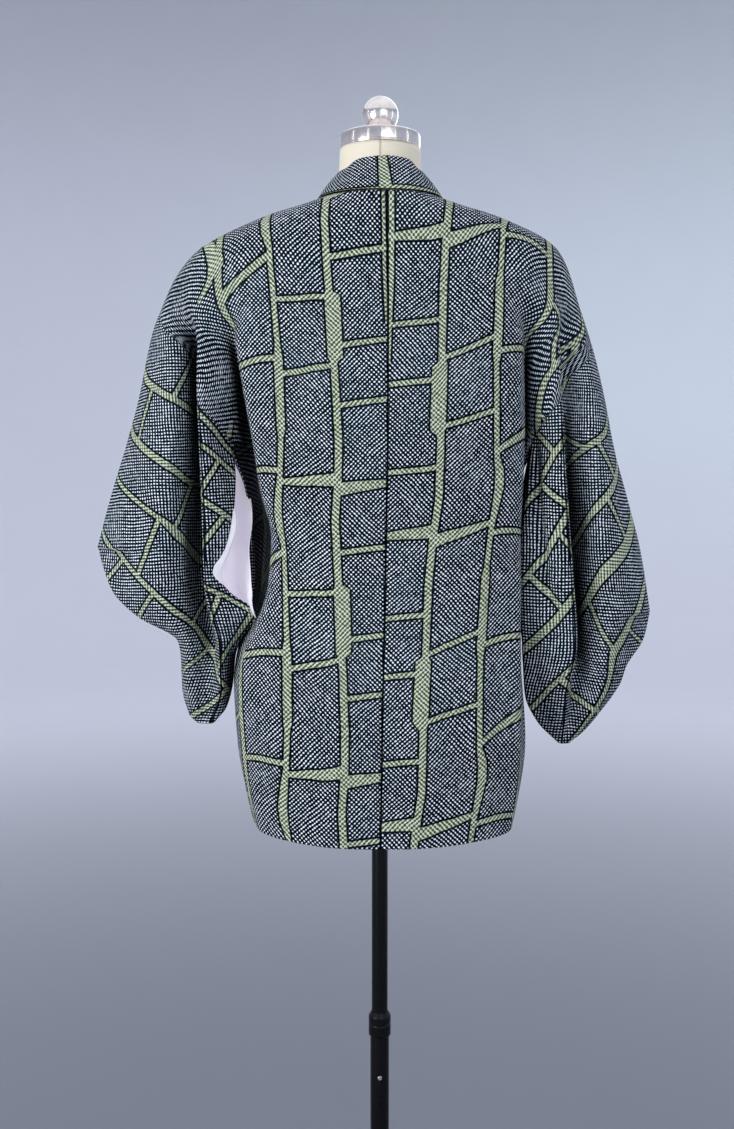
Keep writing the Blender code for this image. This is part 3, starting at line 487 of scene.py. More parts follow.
BARS = [
    (0, 0.0005, 0.0090, 0.0032, 0.0080), (0, 0.0775, 0.0860, 0.0030, 0.0030),
    (0, 0.1835, 0.1920, 0.0028, 0.0032), (0, 0.2550, 0.2635, 0.0030, 0.0030),
    (1, -0.0040, 0.0090, 0.0080, 0.0032), (1, 0.1320, 0.1450, 0.0030, 0.0030),
    (1, 0.2140, 0.2345, 0.0030, 0.0032),
    (2, -0.0043, 0.0005, 0.0034, 0.0030), (2, 0.0940, 0.1365, 0.0030, 0.0060),
    (2, 0.2150, 0.2285, 0.0034, 0.0034),
    (3, 0.0500, 0.0440, 0.0034, 0.0034), (3, 0.1850, 0.1900, 0.0034, 0.0034),
    (3, 0.3000, 0.2920, 0.0030, 0.0034),
    (4, 0.1450, 0.1380, 0.0034, 0.0034), (4, 0.2350, 0.2420, 0.0034, 0.0034),
    (4, 0.3300, 0.3260, 0.0034, 0.0034),
    (5, 0.0900, 0.0960, 0.0034, 0.0034), (5, 0.2000, 0.2000, 0.0034, 0.0034),
]


class Corners:
    """Places on the chart at the face corners of a mesh, with their means over each face."""

    def __init__(self, mesh, place):
        values = np.empty(len(mesh.loops) * 2)
        mesh.uv_layers["cloth"].data.foreach_get("uv", values)
        self.cloth = values.reshape(-1, 2)
        self.across, self.along = place(self.cloth)
        self.totals = np.empty(len(mesh.polygons), dtype=np.int32)
        mesh.polygons.foreach_get("loop_total", self.totals)
        self.face = np.repeat(np.arange(len(self.totals)), self.totals)
        self.mid_across, self.mid_along = self.middle(self.across), self.middle(self.along)
        self.mid_u, self.mid_v = (self.middle(self.cloth[:, axis]) for axis in (0, 1))

    def middle(self, values):
        return np.bincount(self.face, values) / self.totals


class Chart:
    """Lines and bars of one chart; without a repeat it is laid out once.

    extra holds further lines, given in cloth coordinates. clear is the first field that loses
    its bars and its outer line, as the fields outside it do, with the places along the cloth
    between which they do.
    """

    def __init__(self, lines, bars, edges, repeat=None, extra=(), clear=None):
        self.lines = [np.array(rows) for rows in lines]
        self.bars = bars
        self.edges = edges
        self.repeat = repeat
        self.extra = [np.array(rows) for rows in extra]
        self.clear = clear

    def line(self, number, column, at):
        """One column of a line's stations: 1 for its place across, 2 for its half width."""
        rows = self.lines[number]
        if self.repeat is None:
            return np.interp(at, rows[:, 0], rows[:, column])
        return np.interp(at % self.repeat, rows[:, 0], rows[:, column], period=self.repeat)

    def field_edges(self, field, at):
        """Places across of the lines on either side of a field."""
        inner = self.line(field - 1, 1, at) if field > 0 else np.full(at.shape, self.edges[0])
        last = field >= len(self.lines)
        outer = np.full(at.shape, self.edges[1]) if last else self.line(field, 1, at)
        return inner, outer

    def cleared(self, at, numbers):
        """Corners at which the lines or the bars of those fields are left out."""
        if self.clear is None:
            return np.zeros(len(numbers), dtype=bool)
        first, low, high = self.clear
        return ((at.mid_v > low) & (at.mid_v < high))[at.face] & (numbers >= first)

    def line_layer(self, at):
        """Distance to the nearest line with its half width, at each corner."""
        count = len(self.lines)
        reach = [np.abs(at.mid_across - self.line(k, 1, at.mid_along)) for k in range(count)]
        nearest = np.argmin(np.stack(reach), axis=0)[at.face]
        layer = np.zeros((len(at.across), 2))
        for k in range(count):
            own = nearest == k
            layer[own, 0] = at.across[own] - self.line(k, 1, at.along[own])
            layer[own, 1] = self.line(k, 2, at.along[own])
        layer[self.cleared(at, nearest), 0] = OUT_OF_SIGHT
        margin = at.middle(np.abs(layer[:, 0]) - layer[:, 1])
        for spots, middle, half in (rows.T for rows in self.extra):
            away = np.abs(at.mid_u - np.interp(at.mid_v, spots, middle)) - np.interp(at.mid_v, spots, half)
            near = (away < np.minimum(margin, EXTRA_REACH)) & (at.mid_v > spots[0])
            own = (near & (at.mid_v < spots[-1]))[at.face]
            layer[own, 0] = at.cloth[own, 0] - np.interp(at.cloth[own, 1], spots, middle)
            layer[own, 1] = np.interp(at.cloth[own, 1], spots, half)
        return layer

    def bar_layer(self, at):
        """Distance to the nearest bar of the same field with its half width, at each corner."""
        count = len(self.lines)
        field = sum((at.mid_across > self.line(k, 1, at.mid_along)).astype(int) for k in range(count))
        layer = np.zeros((len(at.across), 2))
        layer[:, 0] = OUT_OF_SIGHT
        best = np.full(len(at.totals), math.inf)
        for number, at_inner, at_outer, half_inner, half_outer in self.bars:
            inner, outer = self.field_edges(number, at.mid_along)
            share = np.clip((at.mid_across - inner) / (outer - inner), 0.0, 1.0)
            gap = at.mid_along - (at_inner + (at_outer - at_inner) * share)
            turns = np.round(gap / self.repeat) * self.repeat if self.repeat else np.zeros(gap.shape)
            gap = np.abs(gap - turns)
            better = (field == number) & (gap < best)
            best = np.where(better, gap, best)
            own = better[at.face]
            if not own.any():
                continue
            inner, outer = (edge[own] for edge in self.field_edges(number, at.along))
            share = (at.across[own] - inner) / (outer - inner)
            lean = (at_outer - at_inner) / float(np.mean(outer - inner))
            away = at.along[own] - (at_inner + (at_outer - at_inner) * share) - turns[at.face][own]
            layer[own, 0] = away / math.hypot(1.0, lean)
            layer[own, 1] = half_inner + (half_outer - half_inner) * np.clip(share, 0.0, 1.0)
        layer[self.cleared(at, field[at.face]), 0] = OUT_OF_SIGHT
        return layer

    def lay(self, mesh, place):
        """Corner layers for the dots, the lines and the bars.

        place turns cloth coordinates into chart coordinates.
        """
        at = Corners(mesh, place)
        lattice = np.column_stack([at.across, at.along])
        layers = {"lattice": lattice, "lines": self.line_layer(at), "bars": self.bar_layer(at)}
        for name, values in layers.items():
            layer = mesh.uv_layers.new(name=name)
            layer.data.foreach_set("uv", values.astype(np.float32).ravel())


# Thin line close beside the centre back seam, on each body length, in its cloth coordinates.
SEAM_LINES = {
    "left": [(0.000, 0.0046, 0.0022), (0.060, 0.0042, 0.0020), (0.130, 0.0030, 0.0018),
             (0.165, 0.0015, 0.0014)],
    "right": [(0.000, 0.0052, 0.0032), (0.060, 0.0052, 0.0030), (0.110, 0.0045, 0.0028),
              (0.165, 0.0030, 0.0016), (0.215, 0.0018, 0.0010)]}
# Bands that lie on one shoulder only, in the same way
SHOULDER_LINES = {
    "left": [
        [(0.020, 0.2320, 0.0056), (0.048, 0.2245, 0.0062), (0.070, 0.2180, 0.0068), (0.084, 0.2120, 0.0098),
         (0.095, 0.2110, 0.0105), (0.104, 0.2180, 0.0064), (0.118, 0.2340, 0.0050)]],
    "right": []}
# The first field that is left plain there, with the places along the cloth between which it is
SHOULDER_CLEAR = {"left": (3, -0.02, 0.24), "right": None}
CLOTH_CHART = Chart(LINES, BARS, EDGES, REPEAT)
BODY_CHART = {side: Chart(LINES, BARS, EDGES, REPEAT, [rows] + SHOULDER_LINES[side], SHOULDER_CLEAR[side])
              for side, rows in SEAM_LINES.items()}
COLLAR_CHART = Chart(
    [[(-0.900, 0.031, 0.0042), (-0.240, 0.028, 0.0040), (-0.150, 0.010, 0.0038),
      (-0.100, 0.0015, 0.0044), (-0.010, 0.0015, 0.0052), (0.004, 0.0005, 0.0030),
      (0.030, 0.0002, 0.0020), (0.110, 0.0002, 0.0018), (0.160, 0.010, 0.0030),
      (0.250, 0.028, 0.0040), (0.900, 0.031, 0.0042)]],
    [(1, -0.0010, 0.0035, 0.0078, 0.0047), (1, -0.2300, -0.2260, 0.0034, 0.0032),
     (1, -0.3350, -0.3300, 0.0034, 0.0032), (1, -0.4300, -0.4360, 0.0032, 0.0034),
     (1, -0.5350, -0.5350, 0.0034, 0.0034), (1, -0.6600, -0.6560, 0.0034, 0.0034),
     (1, -0.7700, -0.7760, 0.0034, 0.0034),
     (0, -0.1900, -0.1850, 0.0034, 0.0034), (0, -0.2850, -0.2850, 0.0034, 0.0034),
     (0, -0.3900, -0.3860, 0.0034, 0.0034), (0, -0.4900, -0.4940, 0.0034, 0.0034),
     (0, -0.6000, -0.6000, 0.0034, 0.0034), (0, -0.7150, -0.7110, 0.0034, 0.0034),
     (1, 0.2100, 0.2150, 0.0034, 0.0034), (1, 0.3150, 0.3100, 0.0034, 0.0034),
     (1, 0.4200, 0.4240, 0.0034, 0.0034), (1, 0.5250, 0.5250, 0.0034, 0.0034),
     (1, 0.6350, 0.6310, 0.0034, 0.0034), (1, 0.7450, 0.7450, 0.0034, 0.0034),
     (0, 0.2600, 0.2600, 0.0034, 0.0034), (0, 0.3650, 0.3690, 0.0034, 0.0034),
     (0, 0.4750, 0.4750, 0.0034, 0.0034), (0, 0.5850, 0.5810, 0.0034, 0.0034),
     (0, 0.6900, 0.6940, 0.0034, 0.0034), (0, 0.7900, 0.7900, 0.0034, 0.0034)],
    (0.0, 0.056))


# The sleeves: the fold at the top lies across the lattice, so their lines run down and inwards.
SLEEVE_CHART = {
    "left": Chart(
        [[(-0.176, -0.033, 0.0028), (-0.127, -0.027, 0.0026), (-0.060, -0.024, 0.0030)],
         [(-0.176, 0.058, 0.0046), (-0.122, 0.042, 0.0040), (0.007, 0.002, 0.0026), (0.057, -0.003, 0.0030)],
         [(-0.146, 0.123, 0.0044), (-0.044, 0.104, 0.0042), (0.042, 0.054, 0.0034), (0.120, 0.040, 0.0030)],
         [(-0.127, 0.182, 0.0026), (-0.040, 0.166, 0.0028), (-0.010, 0.166, 0.0056), (0.044, 0.160, 0.0052),
          (0.140, 0.124, 0.0028), (0.180, 0.118, 0.0028)],
         [(-0.092, 0.248, 0.0028), (0.000, 0.240, 0.0032), (0.058, 0.234, 0.0030), (0.101, 0.223, 0.0030),
          (0.220, 0.217, 0.0032)]],
        [(0, -0.150, -0.150, 0.0030, 0.0030), (1, -0.140, -0.124, 0.0026, 0.0026),
         (1, -0.060, -0.040, 0.0030, 0.0030), (2, -0.160, -0.130, 0.0022, 0.0022),
         (2, 0.032, 0.040, 0.0026, 0.0026), (3, -0.032, -0.020, 0.0028, 0.0028),
         (3, 0.080, 0.086, 0.0030, 0.0030), (4, -0.042, -0.015, 0.0028, 0.0028),
         (4, 0.084, 0.090, 0.0028, 0.0028), (4, 0.138, 0.152, 0.0028, 0.0028),
         (4, 0.180, 0.186, 0.0032, 0.0032), (5, -0.050, -0.056, 0.0028, 0.0028),
         (5, 0.017, 0.026, 0.0030, 0.0030), (5, 0.142, 0.139, 0.0030, 0.0030),
         (5, 0.217, 0.215, 0.0040, 0.0046)],
        (-0.110, 0.330)),
    "right": Chart(
        [[(-0.200, -0.010, 0.0036), (0.020, 0.002, 0.0038), (0.100, 0.022, 0.0026), (0.160, 0.030, 0.0026)],
         [(-0.116, 0.094, 0.0040), (-0.080, 0.086, 0.0036), (0.036, 0.056, 0.0040), (0.068, 0.067, 0.0042),
          (0.112, 0.079, 0.0036), (0.180, 0.086, 0.0032)],
         [(-0.080, 0.147, 0.0050), (0.010, 0.150, 0.0036), (0.129, 0.139, 0.0046), (0.170, 0.144, 0.0046)],
         [(-0.040, 0.212, 0.0082), (0.010, 0.208, 0.0070), (0.063, 0.211, 0.0036), (0.190, 0.203, 0.0032),
          (0.257, 0.216, 0.0034)],
         [(0.020, 0.274, 0.0044), (0.097, 0.267, 0.0046), (0.140, 0.276, 0.0028), (0.252, 0.288, 0.0026)]],
        [(0, -0.100, -0.110, 0.0030, 0.0030), (0, 0.026, 0.018, 0.0030, 0.0034),
         (1, -0.030, -0.083, 0.0028, 0.0028), (1, 0.060, 0.052, 0.0034, 0.0030),
         (2, -0.100, -0.090, 0.0030, 0.0030), (2, 0.084, 0.092, 0.0026, 0.0026),
         (2, 0.150, 0.150, 0.0038, 0.0036), (3, -0.060, -0.046, 0.0026, 0.0026),
         (3, 0.100, 0.108, 0.0028, 0.0028), (4, 0.060, 0.094, 0.0028, 0.0030),
         (4, 0.208, 0.192, 0.0038, 0.0036), (5, 0.046, 0.050, 0.0030, 0.0030),
         (5, 0.188, 0.184, 0.0034, 0.0040)],
        (-0.110, 0.350))}

# Fine cloth
GRAIN = 0.0046
CLOTH = 0.0010
LEVEL_NEAR = 1e-6
# Widths that the numbers of columns come from, and the seam distance up to which they are even
BODY_WIDTH, SLEEVE_WIDTH, SLEEVE_NARROW = {1: 0.36, -1: 0.26}, 0.34, 0.012
SLEEVE_TOP_GAP, SLEEVE_FOOT = 0.0004, (0.0040, 0.0015)
EDGE_COLUMNS = (0.0, 0.0014, 0.0034)
SEAM_REACH, SEAM_SINK = 0.0022, 0.0016
YOKE_Z = 1.360
YOKE_BLEND = (1.330, 1.385)
FALL_STRETCH = 1.02
YOKE_STRETCH = 1.04
NECK_SET_BACK = 0.055
NECK_SPREAD = (0.05, 0.20)
RIDGE_KNOT = 3
LENGTH_LEVELS = 8
CREASE_SLOPE = 0.6
CREASE_LEVEL, CREASE_SHARE = 1.060, 0.5
# Painted underarm shade: the levels where it fades in at its head and its foot, its strength on each side,
# and the distances past the back's folded edge where it begins, is full and fades out before the side seam
UNDERARM_SHADE_TOP, UNDERARM_SHADE_FOOT = (1.190, 1.310), (0.865, 0.970)
UNDERARM_SHADE_STRENGTH = {"left": 1.0, "right": 0.45}
UNDERARM_SHADE_NEAR, UNDERARM_SHADE_FAR, UNDERARM_SHADE_END = 0.004, 0.022, 0.014


def along_path(path, spots):
    """Points of a path at many distances."""
    return np.stack([np.interp(spots, path.at, path.points[:, axis]) for axis in (0, 1)], axis=1)


def columns(limit, count):
    """Distances over a width, closer together at both edges."""
    near = np.array(EDGE_COLUMNS)
    inner = np.linspace(near[-1], limit - near[-1], count)
    return np.concatenate([near[:-1], inner, (limit - near[:-1])[::-1]])


def groove(distance):
    """How deep the cloth sinks into a seam at that distance from it."""
    return SEAM_SINK * np.exp(-((distance / SEAM_REACH) ** 2))


def shoulder_levels(half):
    """Levels from the neck down to the yoke, evenly spaced along the sloping upper line."""
    zs = half.top["z"][::-1]
    xs = half.top["x"][::-1]
    run = np.concatenate([[0.0], np.cumsum(np.hypot(np.diff(xs), np.diff(zs)))])
    end = float(np.interp(-YOKE_Z, -zs, run))
    spots = np.linspace(0.0, end, int(end / GRAIN) + 1)
    return list(np.interp(spots, run, zs))


def even_levels(start, end):
    """Levels below the start, down to the end."""
    return list(np.linspace(start, end, int((start - end) / GRAIN) + 2))[1:]


def body_levels(half):
    """Levels of the body from the neck to the hem at its sides."""
    levels = shoulder_levels(half)
    for end in (half.seam_z, UNDERARM_Z, SIDE_HEM_Z + EDGE_COLUMNS[-1]):
        levels += even_levels(levels[-1], end)
    return levels + [SIDE_HEM_Z + EDGE_COLUMNS[1], SIDE_HEM_Z]


def ridge_spot(path, face):
    """Distance along a whole level of the sleeve's inner ridge."""
    return path.spots(len(BACK_KNOTS) + 1 if face > 0 else len(FRONT_KNOTS))


class BodyCloth:
    """Cloth coordinates of one body length: across from the centre back, along from the shoulder."""

    def __init__(self, half):
        self.half = half
        self.path = {face: half.section(face, YOKE_Z) for face in (1, -1)}
        back, front = self.path[1], self.path[-1]
        self.start = {1: 0.0, -1: back.length - front.length}
        self.xs = np.maximum.accumulate(back.points[:, 0])
        self.top_x = half.top["x"][::-1]
        self.top_z = half.top["z"][::-1]
        zs = np.linspace(YOKE_Z, half.seam_z, LENGTH_LEVELS)
        self.reach = {face: (np.array([half.plain_length(face, float(z)) for z in zs]), zs)
                      for face in (1, -1)}

    def yoke(self, face, xy, z):
        """Distance from the shoulder, over the back or over the front."""
        top = np.interp(xy[:, 0], self.top_x, self.top_z)
        low, high = NECK_SPREAD
        out = np.clip((xy[:, 0] - low) / (high - low), 0.0, 1.0)
        back_set = NECK_SET_BACK * (1.0 - eased(out))
        return YOKE_STRETCH * np.hypot(xy[:, 1], np.maximum(top - z, 0.0)) - face * back_set

    def past_crease(self, face, z, distance):
        """Distances from the centre, less what the crease of the armhole takes up past its ridge."""
        path = self.half.section(face, z)
        ridge = ridge_spot(path, face)
        share = (self.half.plain_length(face, z) - ridge) / (path.length - ridge)
        past = np.maximum(distance - ridge, 0.0) * min(max(share, CREASE_SLOPE), 1.0)
        return np.minimum(distance, ridge) + past

    def read(self, face, xy, z, distance):
        """Cloth coordinates of a row of points, with their distances from the centre."""
        if UNDERARM_Z < float(z[-1]) < YOKE_Z:
            distance = self.past_crease(face, float(z[-1]), distance)
        by_place = np.interp(xy[:, 0], self.xs, self.path[1].at)
        by_distance = self.start[face] + distance
        share = smoothstep(*YOKE_BLEND, float(np.mean(z)))
        across = share * by_place + (1.0 - share) * by_distance
        if float(np.max(z)) >= YOKE_Z:
            along = self.yoke(face, xy, z)
        else:
            lengths, zs = self.reach[face]
            spots = across - self.start[face]
            path = self.path[face]
            own = along_path(path, np.clip(spots, 0.0, path.length))
            start = np.interp(spots, lengths, zs)
            start = np.where(spots <= path.length, YOKE_Z, start)
            along = self.yoke(face, own, YOKE_Z) * (spots <= path.length)
            along = along + FALL_STRETCH * (start - z)
        return np.stack([across, face * along], axis=1)


def painted_underarm_shade(half, face, z, path, spots):
    """Painted underarm shade past the folded edge of the back: how strongly the cloth there is darkened, as
    if shut in by the fold.
    """
    if face < 0:
        return np.zeros(len(spots))
    side = len(BACK_KNOTS)
    edge = path.spots(side - 2)
    reach = eased(np.clip((spots - edge - UNDERARM_SHADE_NEAR) / (UNDERARM_SHADE_FAR - UNDERARM_SHADE_NEAR), 0.0, 1.0))
    if z > UNDERARM_Z:
        reach = reach * np.clip((path.spots(side) - spots) / UNDERARM_SHADE_END, 0.0, 1.0)
    return UNDERARM_SHADE_STRENGTH[half.side] * hump(UNDERARM_SHADE_FOOT, UNDERARM_SHADE_TOP, z) * reach


def body_row(half, cloth, face, z):
    """Points, cloth coordinates, seam depths and painted underarm shade across one side of a body length."""
    if z > UNDERARM_Z:
        path = half.section(face, z)
        limit = half.seam_limit(face, z) if z < half.seam_z else path.length
    else:
        path = half.body_section(face, z)
        limit = path.length
    spots = columns(limit, int(BODY_WIDTH[face] / GRAIN))
    xy = along_path(path, spots)
    hem = BACK_HEM_Z if face > 0 else FRONT_HEM_Z
    share = max((UNDERARM_Z - z) / (UNDERARM_Z - SIDE_HEM_Z), 0.0)
    zs = z + (hem - SIDE_HEM_Z) * share * (1.0 - (spots / limit) ** 2)
    sink = groove(limit - spots) * (z < half.seam_z)
    if face > 0:
        sink = sink + groove(spots)
    coordinates = cloth.read(face, xy, zs, spots)
    return np.column_stack([xy, zs]), coordinates, sink, painted_underarm_shade(half, face, z, path, spots)


def body_sheet(side):
    """Back and front of one half, with the rows that the collar is sewn to."""
    half = Garment(side)
    cloth = BodyCloth(half)
    sheet = Sheet(SIDES[side])
    above = None
    edge = []
    for z in body_levels(half):
        rows = {face: body_row(half, cloth, face, z) for face in (1, -1)}
        back = sheet.row(*rows[1])
        edge.append((z, rows[1][0], rows[-1][0]))
        if z >= NECK_Z - LEVEL_NEAR:
            front = [back[-1]] * len(rows[-1][0])
        elif z > half.seam_z - LEVEL_NEAR:
            front = sheet.row(*(part[:-1] for part in rows[-1])) + [back[-1]]
        else:
            front = sheet.row(*rows[-1])
        if above:
            sheet.between(above[0], back, turn=True)
            sheet.between(above[1], front)
        above = (back, front)
    return sheet, edge


def sleeve_span(half, face, z):
    """How far the sleeve reaches past its inner ridge, seen from behind."""
    return half.rim_point(face, z)[0] - read(half.folds, "ridge_x", z)


def sleeve_coordinates(half, face, z, spots):
    """Cloth coordinates on one level of the sleeve: out from the inner ridge, and down."""
    if z > UNDERARM_Z:
        path = half.section(face, z)
        ridge = ridge_spot(path, face)
        out, width = spots - ridge, path.length - ridge
    else:
        path = half.sleeve_section(face, z)
        width = path.spots(RIDGE_KNOT)
        out = width - spots
    level = min(z, CREASE_LEVEL)
    even = half.sleeve_section(face, level).spots(RIDGE_KNOT) - sleeve_span(half, face, level)
    past = eased(np.clip(out / (CREASE_SHARE * width), 0.0, 1.0))
    out = out + (even + sleeve_span(half, face, z) - width) * past
    return np.column_stack([out, np.full(len(spots), UNDERARM_Z - z)])


def sleeve_levels(half):
    """Levels of the sleeve from the top of the armhole seam to its lowest edge."""
    low = float(half.rim["z"][0])
    levels = [half.seam_z - SLEEVE_TOP_GAP]
    for end in (UNDERARM_Z, CORNER_Z[half.side], low + SLEEVE_FOOT[0]):
        levels += even_levels(levels[-1], end)
    return levels + [low + SLEEVE_FOOT[1], low]


def sleeve_row(half, face, z, inset):
    """Points, cloth coordinates and seam depths across one side of a sleeve or of its lining."""
    count = int(SLEEVE_WIDTH / GRAIN)
    if z > UNDERARM_Z:
        path = half.section(face, z)
        limit = half.seam_reach(face, z)
        even = np.linspace(0.0, limit, count + 2 * (len(EDGE_COLUMNS) - 1))
        spots = path.length - (columns(limit, count) if limit > SLEEVE_NARROW else even)
    else:
        path = half.sleeve_section(face, z)
        limit = path.length
        spots = columns(limit, count)
        if inset:
            start = LINING_CUFF * (1.0 - smoothstep(half.tip_z + LINING_CUFF, LINING_Z[1], z))
            spots = start + spots / limit * (limit - inset - start)
    xy = along_path(path, spots)
    if inset and face > 0:
        turned = np.clip(1.0 - (limit - spots) / TURN_REACH, 0.0, 1.0)
        xy[:, 0] -= lining_turn(z) * turned * turned
    if inset and face < 0:
        loose = np.clip(1.0 - (limit - spots) / LINING_LOOSE, 0.0, 1.0)
        xy[:, 1] += lining_swell(z) * eased(loose)
    runs = np.abs(spots - spots[0])
    sink = groove(runs[-1] - runs)
    if z < half.tip_z:
        sink = sink + groove(runs)
    coordinates = sleeve_coordinates(half, face, z, spots)
    return np.column_stack([xy, np.full(len(xy), z)]), coordinates, sink


def sleeve_sheet(side, inset=0.0):
    """Both sides of the sleeve, closed at the bottom and at the lower cuff; inset for its lining."""
    half = Garment(side)
    sheet = Sheet(SIDES[side])
    above = None
    for z in sleeve_levels(half):
        if inset and not LINING_Z[0] < z < LINING_Z[1]:
            continue
        rows = {face: sleeve_row(half, face, z, inset) for face in (1, -1)}
        back = sheet.row(*rows[1])
        if z > half.tip_z:
            front = [back[0]] + sheet.row(*(part[1:] for part in rows[-1]))
        else:
            front = sheet.row(*rows[-1])
        if above:
            sheet.between(above[0], back)
            sheet.between(above[1], front, turn=True)
            if z < CORNER_Z[side] - LEVEL_NEAR:
                sheet.faces.append(own_turn(sheet, [above[0][-1], back[-1], front[-1], above[1][-1]]))
            if z < CUFF_CLOSED_Z[side]:
                sheet.faces.append(own_turn(sheet, [above[0][0], above[1][0], front[0], back[0]]))
        above = (back, front)
    if not inset:
        sheet.between(above[0], above[1])
    return sheet


def lining_swell(z):
    """How far the loose front lining comes back towards the opening."""
    return LINING_SWELL * hump(LINING_FOOT, LINING_HEAD, z)


def lining_turn(z):
    """How far the back lining shows past the edge of its cloth."""
    return LINING_TURN * hump(LINING_TURN_FOOT, LINING_TURN_HEAD, z)


def own_turn(sheet, corners):
    """Corners of a face in the order that turns it outwards on that side."""
    return corners if sheet.sign > 0 else corners[::-1]


# Gusset, collar and lining
GUSSET_START = 0.004
GUSSET_COLUMNS = 14
GUSSET_PLACE = 0.35
COLLAR_SEAM_GAP = 0.0006
COLLAR_COLUMNS = 16
COLLAR_SWELL = 0.0012
COLLAR_SKIP, COLLAR_MIN_STEP = 2, 0.003
COLLAR_WIDTH = 0.054
COLLAR_CLOTH = 0.0022
LINING_Z = (0.865, 1.155)
LINING_INSET = 0.0015
LINING_CUFF = 0.060
LINING_DEPTH = 0.0022
LINING_LOOSE, LINING_SWELL = 0.060, 0.072
LINING_FOOT, LINING_HEAD = (0.930, 0.965), (1.060, 1.120)
LINING_CLOTH = 0.0006
LINING_PAINTED_GLOW = 0.15  # painted light: the lining glows a little so that it looks lit inside the sleeve
LINING_TURN, LINING_TURN_FOOT, LINING_TURN_HEAD = 0.010, (0.965, 1.000), (1.040, 1.105)
TURN_REACH = 0.020

# Soft folds in cloth coordinates: from across, along, to across, along, height and half width
BODY_CREASES = {
    "left": [
        (0.205, 0.10, 0.150, 0.42, 0.0030, 0.010), (0.120, 0.45, 0.135, 0.80, 0.0035, 0.014),
        (0.060, 0.40, 0.045, 0.83, 0.0025, 0.016), (0.180, 0.50, 0.195, 0.82, 0.0030, 0.012),
        (0.100, 0.08, 0.085, 0.30, 0.0018, 0.014),
        (0.130, -0.30, 0.140, -0.80, 0.0035, 0.014), (0.190, -0.15, 0.160, -0.50, 0.0030, 0.012)],
    "right": [
        (0.215, 0.12, 0.165, 0.40, 0.0030, 0.011), (0.110, 0.42, 0.120, 0.80, 0.0030, 0.015),
        (0.165, 0.45, 0.175, 0.80, 0.0032, 0.012), (0.050, 0.50, 0.040, 0.83, 0.0022, 0.014),
        (0.140, -0.28, 0.130, -0.78, 0.0032, 0.014), (0.195, -0.14, 0.170, -0.48, 0.0030, 0.012)]}
SLEEVE_CREASES = {
    "left": {
        1: [(0.100, -0.170, 0.085, 0.060, 0.0030, 0.013), (0.170, -0.090, 0.150, 0.120, 0.0026, 0.018),
            (0.120, 0.050, 0.105, 0.260, 0.0034, 0.013), (-0.018, -0.020, -0.030, 0.180, 0.0024, 0.010),
            (0.205, 0.020, 0.175, 0.180, 0.0022, 0.014)],
        -1: [(0.090, -0.150, 0.100, 0.120, 0.0034, 0.014), (0.160, -0.060, 0.140, 0.200, 0.0030, 0.016),
             (0.120, 0.120, 0.090, 0.300, 0.0030, 0.012), (-0.020, 0.000, -0.028, 0.160, 0.0024, 0.010)]},
    "right": {
        1: [(0.090, -0.140, 0.100, 0.100, 0.0030, 0.013), (0.150, -0.060, 0.165, 0.180, 0.0028, 0.018),
            (0.110, 0.120, 0.060, 0.320, 0.0034, 0.013),
            (-0.044, -0.010, -0.026, 0.250, -0.0120, 0.006), (-0.014, 0.030, -0.010, 0.200, 0.0026, 0.010)],
        -1: [(0.100, -0.120, 0.085, 0.160, 0.0032, 0.014), (0.160, 0.000, 0.150, 0.230, 0.0028, 0.015),
             (0.080, 0.160, 0.060, 0.320, 0.0032, 0.012), (-0.018, 0.010, -0.030, 0.200, 0.0024, 0.010)]}}

# Where each cut piece lies on the chart: its cloth coordinates as across and along
BODY_TURN = 0.779
BODY_PLACE = {
    "left": lambda cloth: (cloth[:, 0] + SLANT * cloth[:, 1], cloth[:, 1]),
    "right": lambda cloth: (cloth[:, 0] + SLANT * cloth[:, 1], BODY_TURN - cloth[:, 1])}
SLEEVE_TURN = math.radians(43.0)

# Painted shade in the folds: rays cast from each point, how far off the cloth they start and how far they
# reach
FOLD_RAYS, FOLD_START, FOLD_REACH = 20, 0.0012, 0.15


def sleeve_place(cloth):
    """Turned so that its lines run down and inwards."""
    cosine, sine = math.cos(SLEEVE_TURN), math.sin(SLEEVE_TURN)
    return cloth[:, 0] * sine + cloth[:, 1] * cosine, cloth[:, 1] * sine - cloth[:, 0] * cosine


# Form
FORM_STEP, FORM_SEGMENTS, FORM_POWER = 0.006, 120, 2.3
FORM_NECK = (1.450, 1.475)

# Stand: radius and height from top to bottom down the outer side
FIT = 0.0003
NECK_TOP_Z = 1.5235
CAP_Z0, CAP_Z1, CAP_R = NECK_TOP_Z + FIT, NECK_TOP_Z + FIT + 0.018, 0.0505
BALL_Z, BALL_R = 1.5680, 0.0228
FOOT_R, FOOT_NECK_R = 0.0080, 0.0062
LOCK_Z0, LOCK_Z1, LOCK_R = 0.383, 0.416, 0.0145
LOWER_R, LOWER_BORE = 0.0122, 0.0109
UPPER_R, UPPER_Z0, UPPER_Z1 = 0.0104, 0.083, 0.7797
BASE_R, BASE_H = 0.16, 0.022
PIN_R, PIN_H, PIN_Z = 0.0028, 0.0016, 0.331
PIN_PLACE = Matrix.Translation((0.0, LOWER_R + FIT, PIN_Z)) @ Matrix.Rotation(-0.5 * math.pi, 4, "X")
# Turned grooves: upper and lower edge above the foot of their piece, depth, and height of a flank
CAP_GROOVE = (0.0028, 0.0016, 0.0008, 0.0002)
LOCK_GROOVE = (0.0180, 0.0156, 0.0007, 0.0008)


def ball(centre, radius, start, end, count):
    """Profile of a ball between two angles, in degrees from its waist."""
    angles = [math.radians(start + (end - start) * k / count) for k in range(count + 1)]
    return [(max(radius * math.cos(a), 0.0), centre + radius * math.sin(a)) for a in angles]


def turned_groove(radius, foot, shape):
    """A groove in the outer side of a turned piece, from its upper edge to its lower one."""
    upper, lower, depth, flank = shape
    return [(radius, foot + upper), (radius - depth, foot + upper - flank),
            (radius - depth, foot + lower + flank), (radius, foot + lower)]


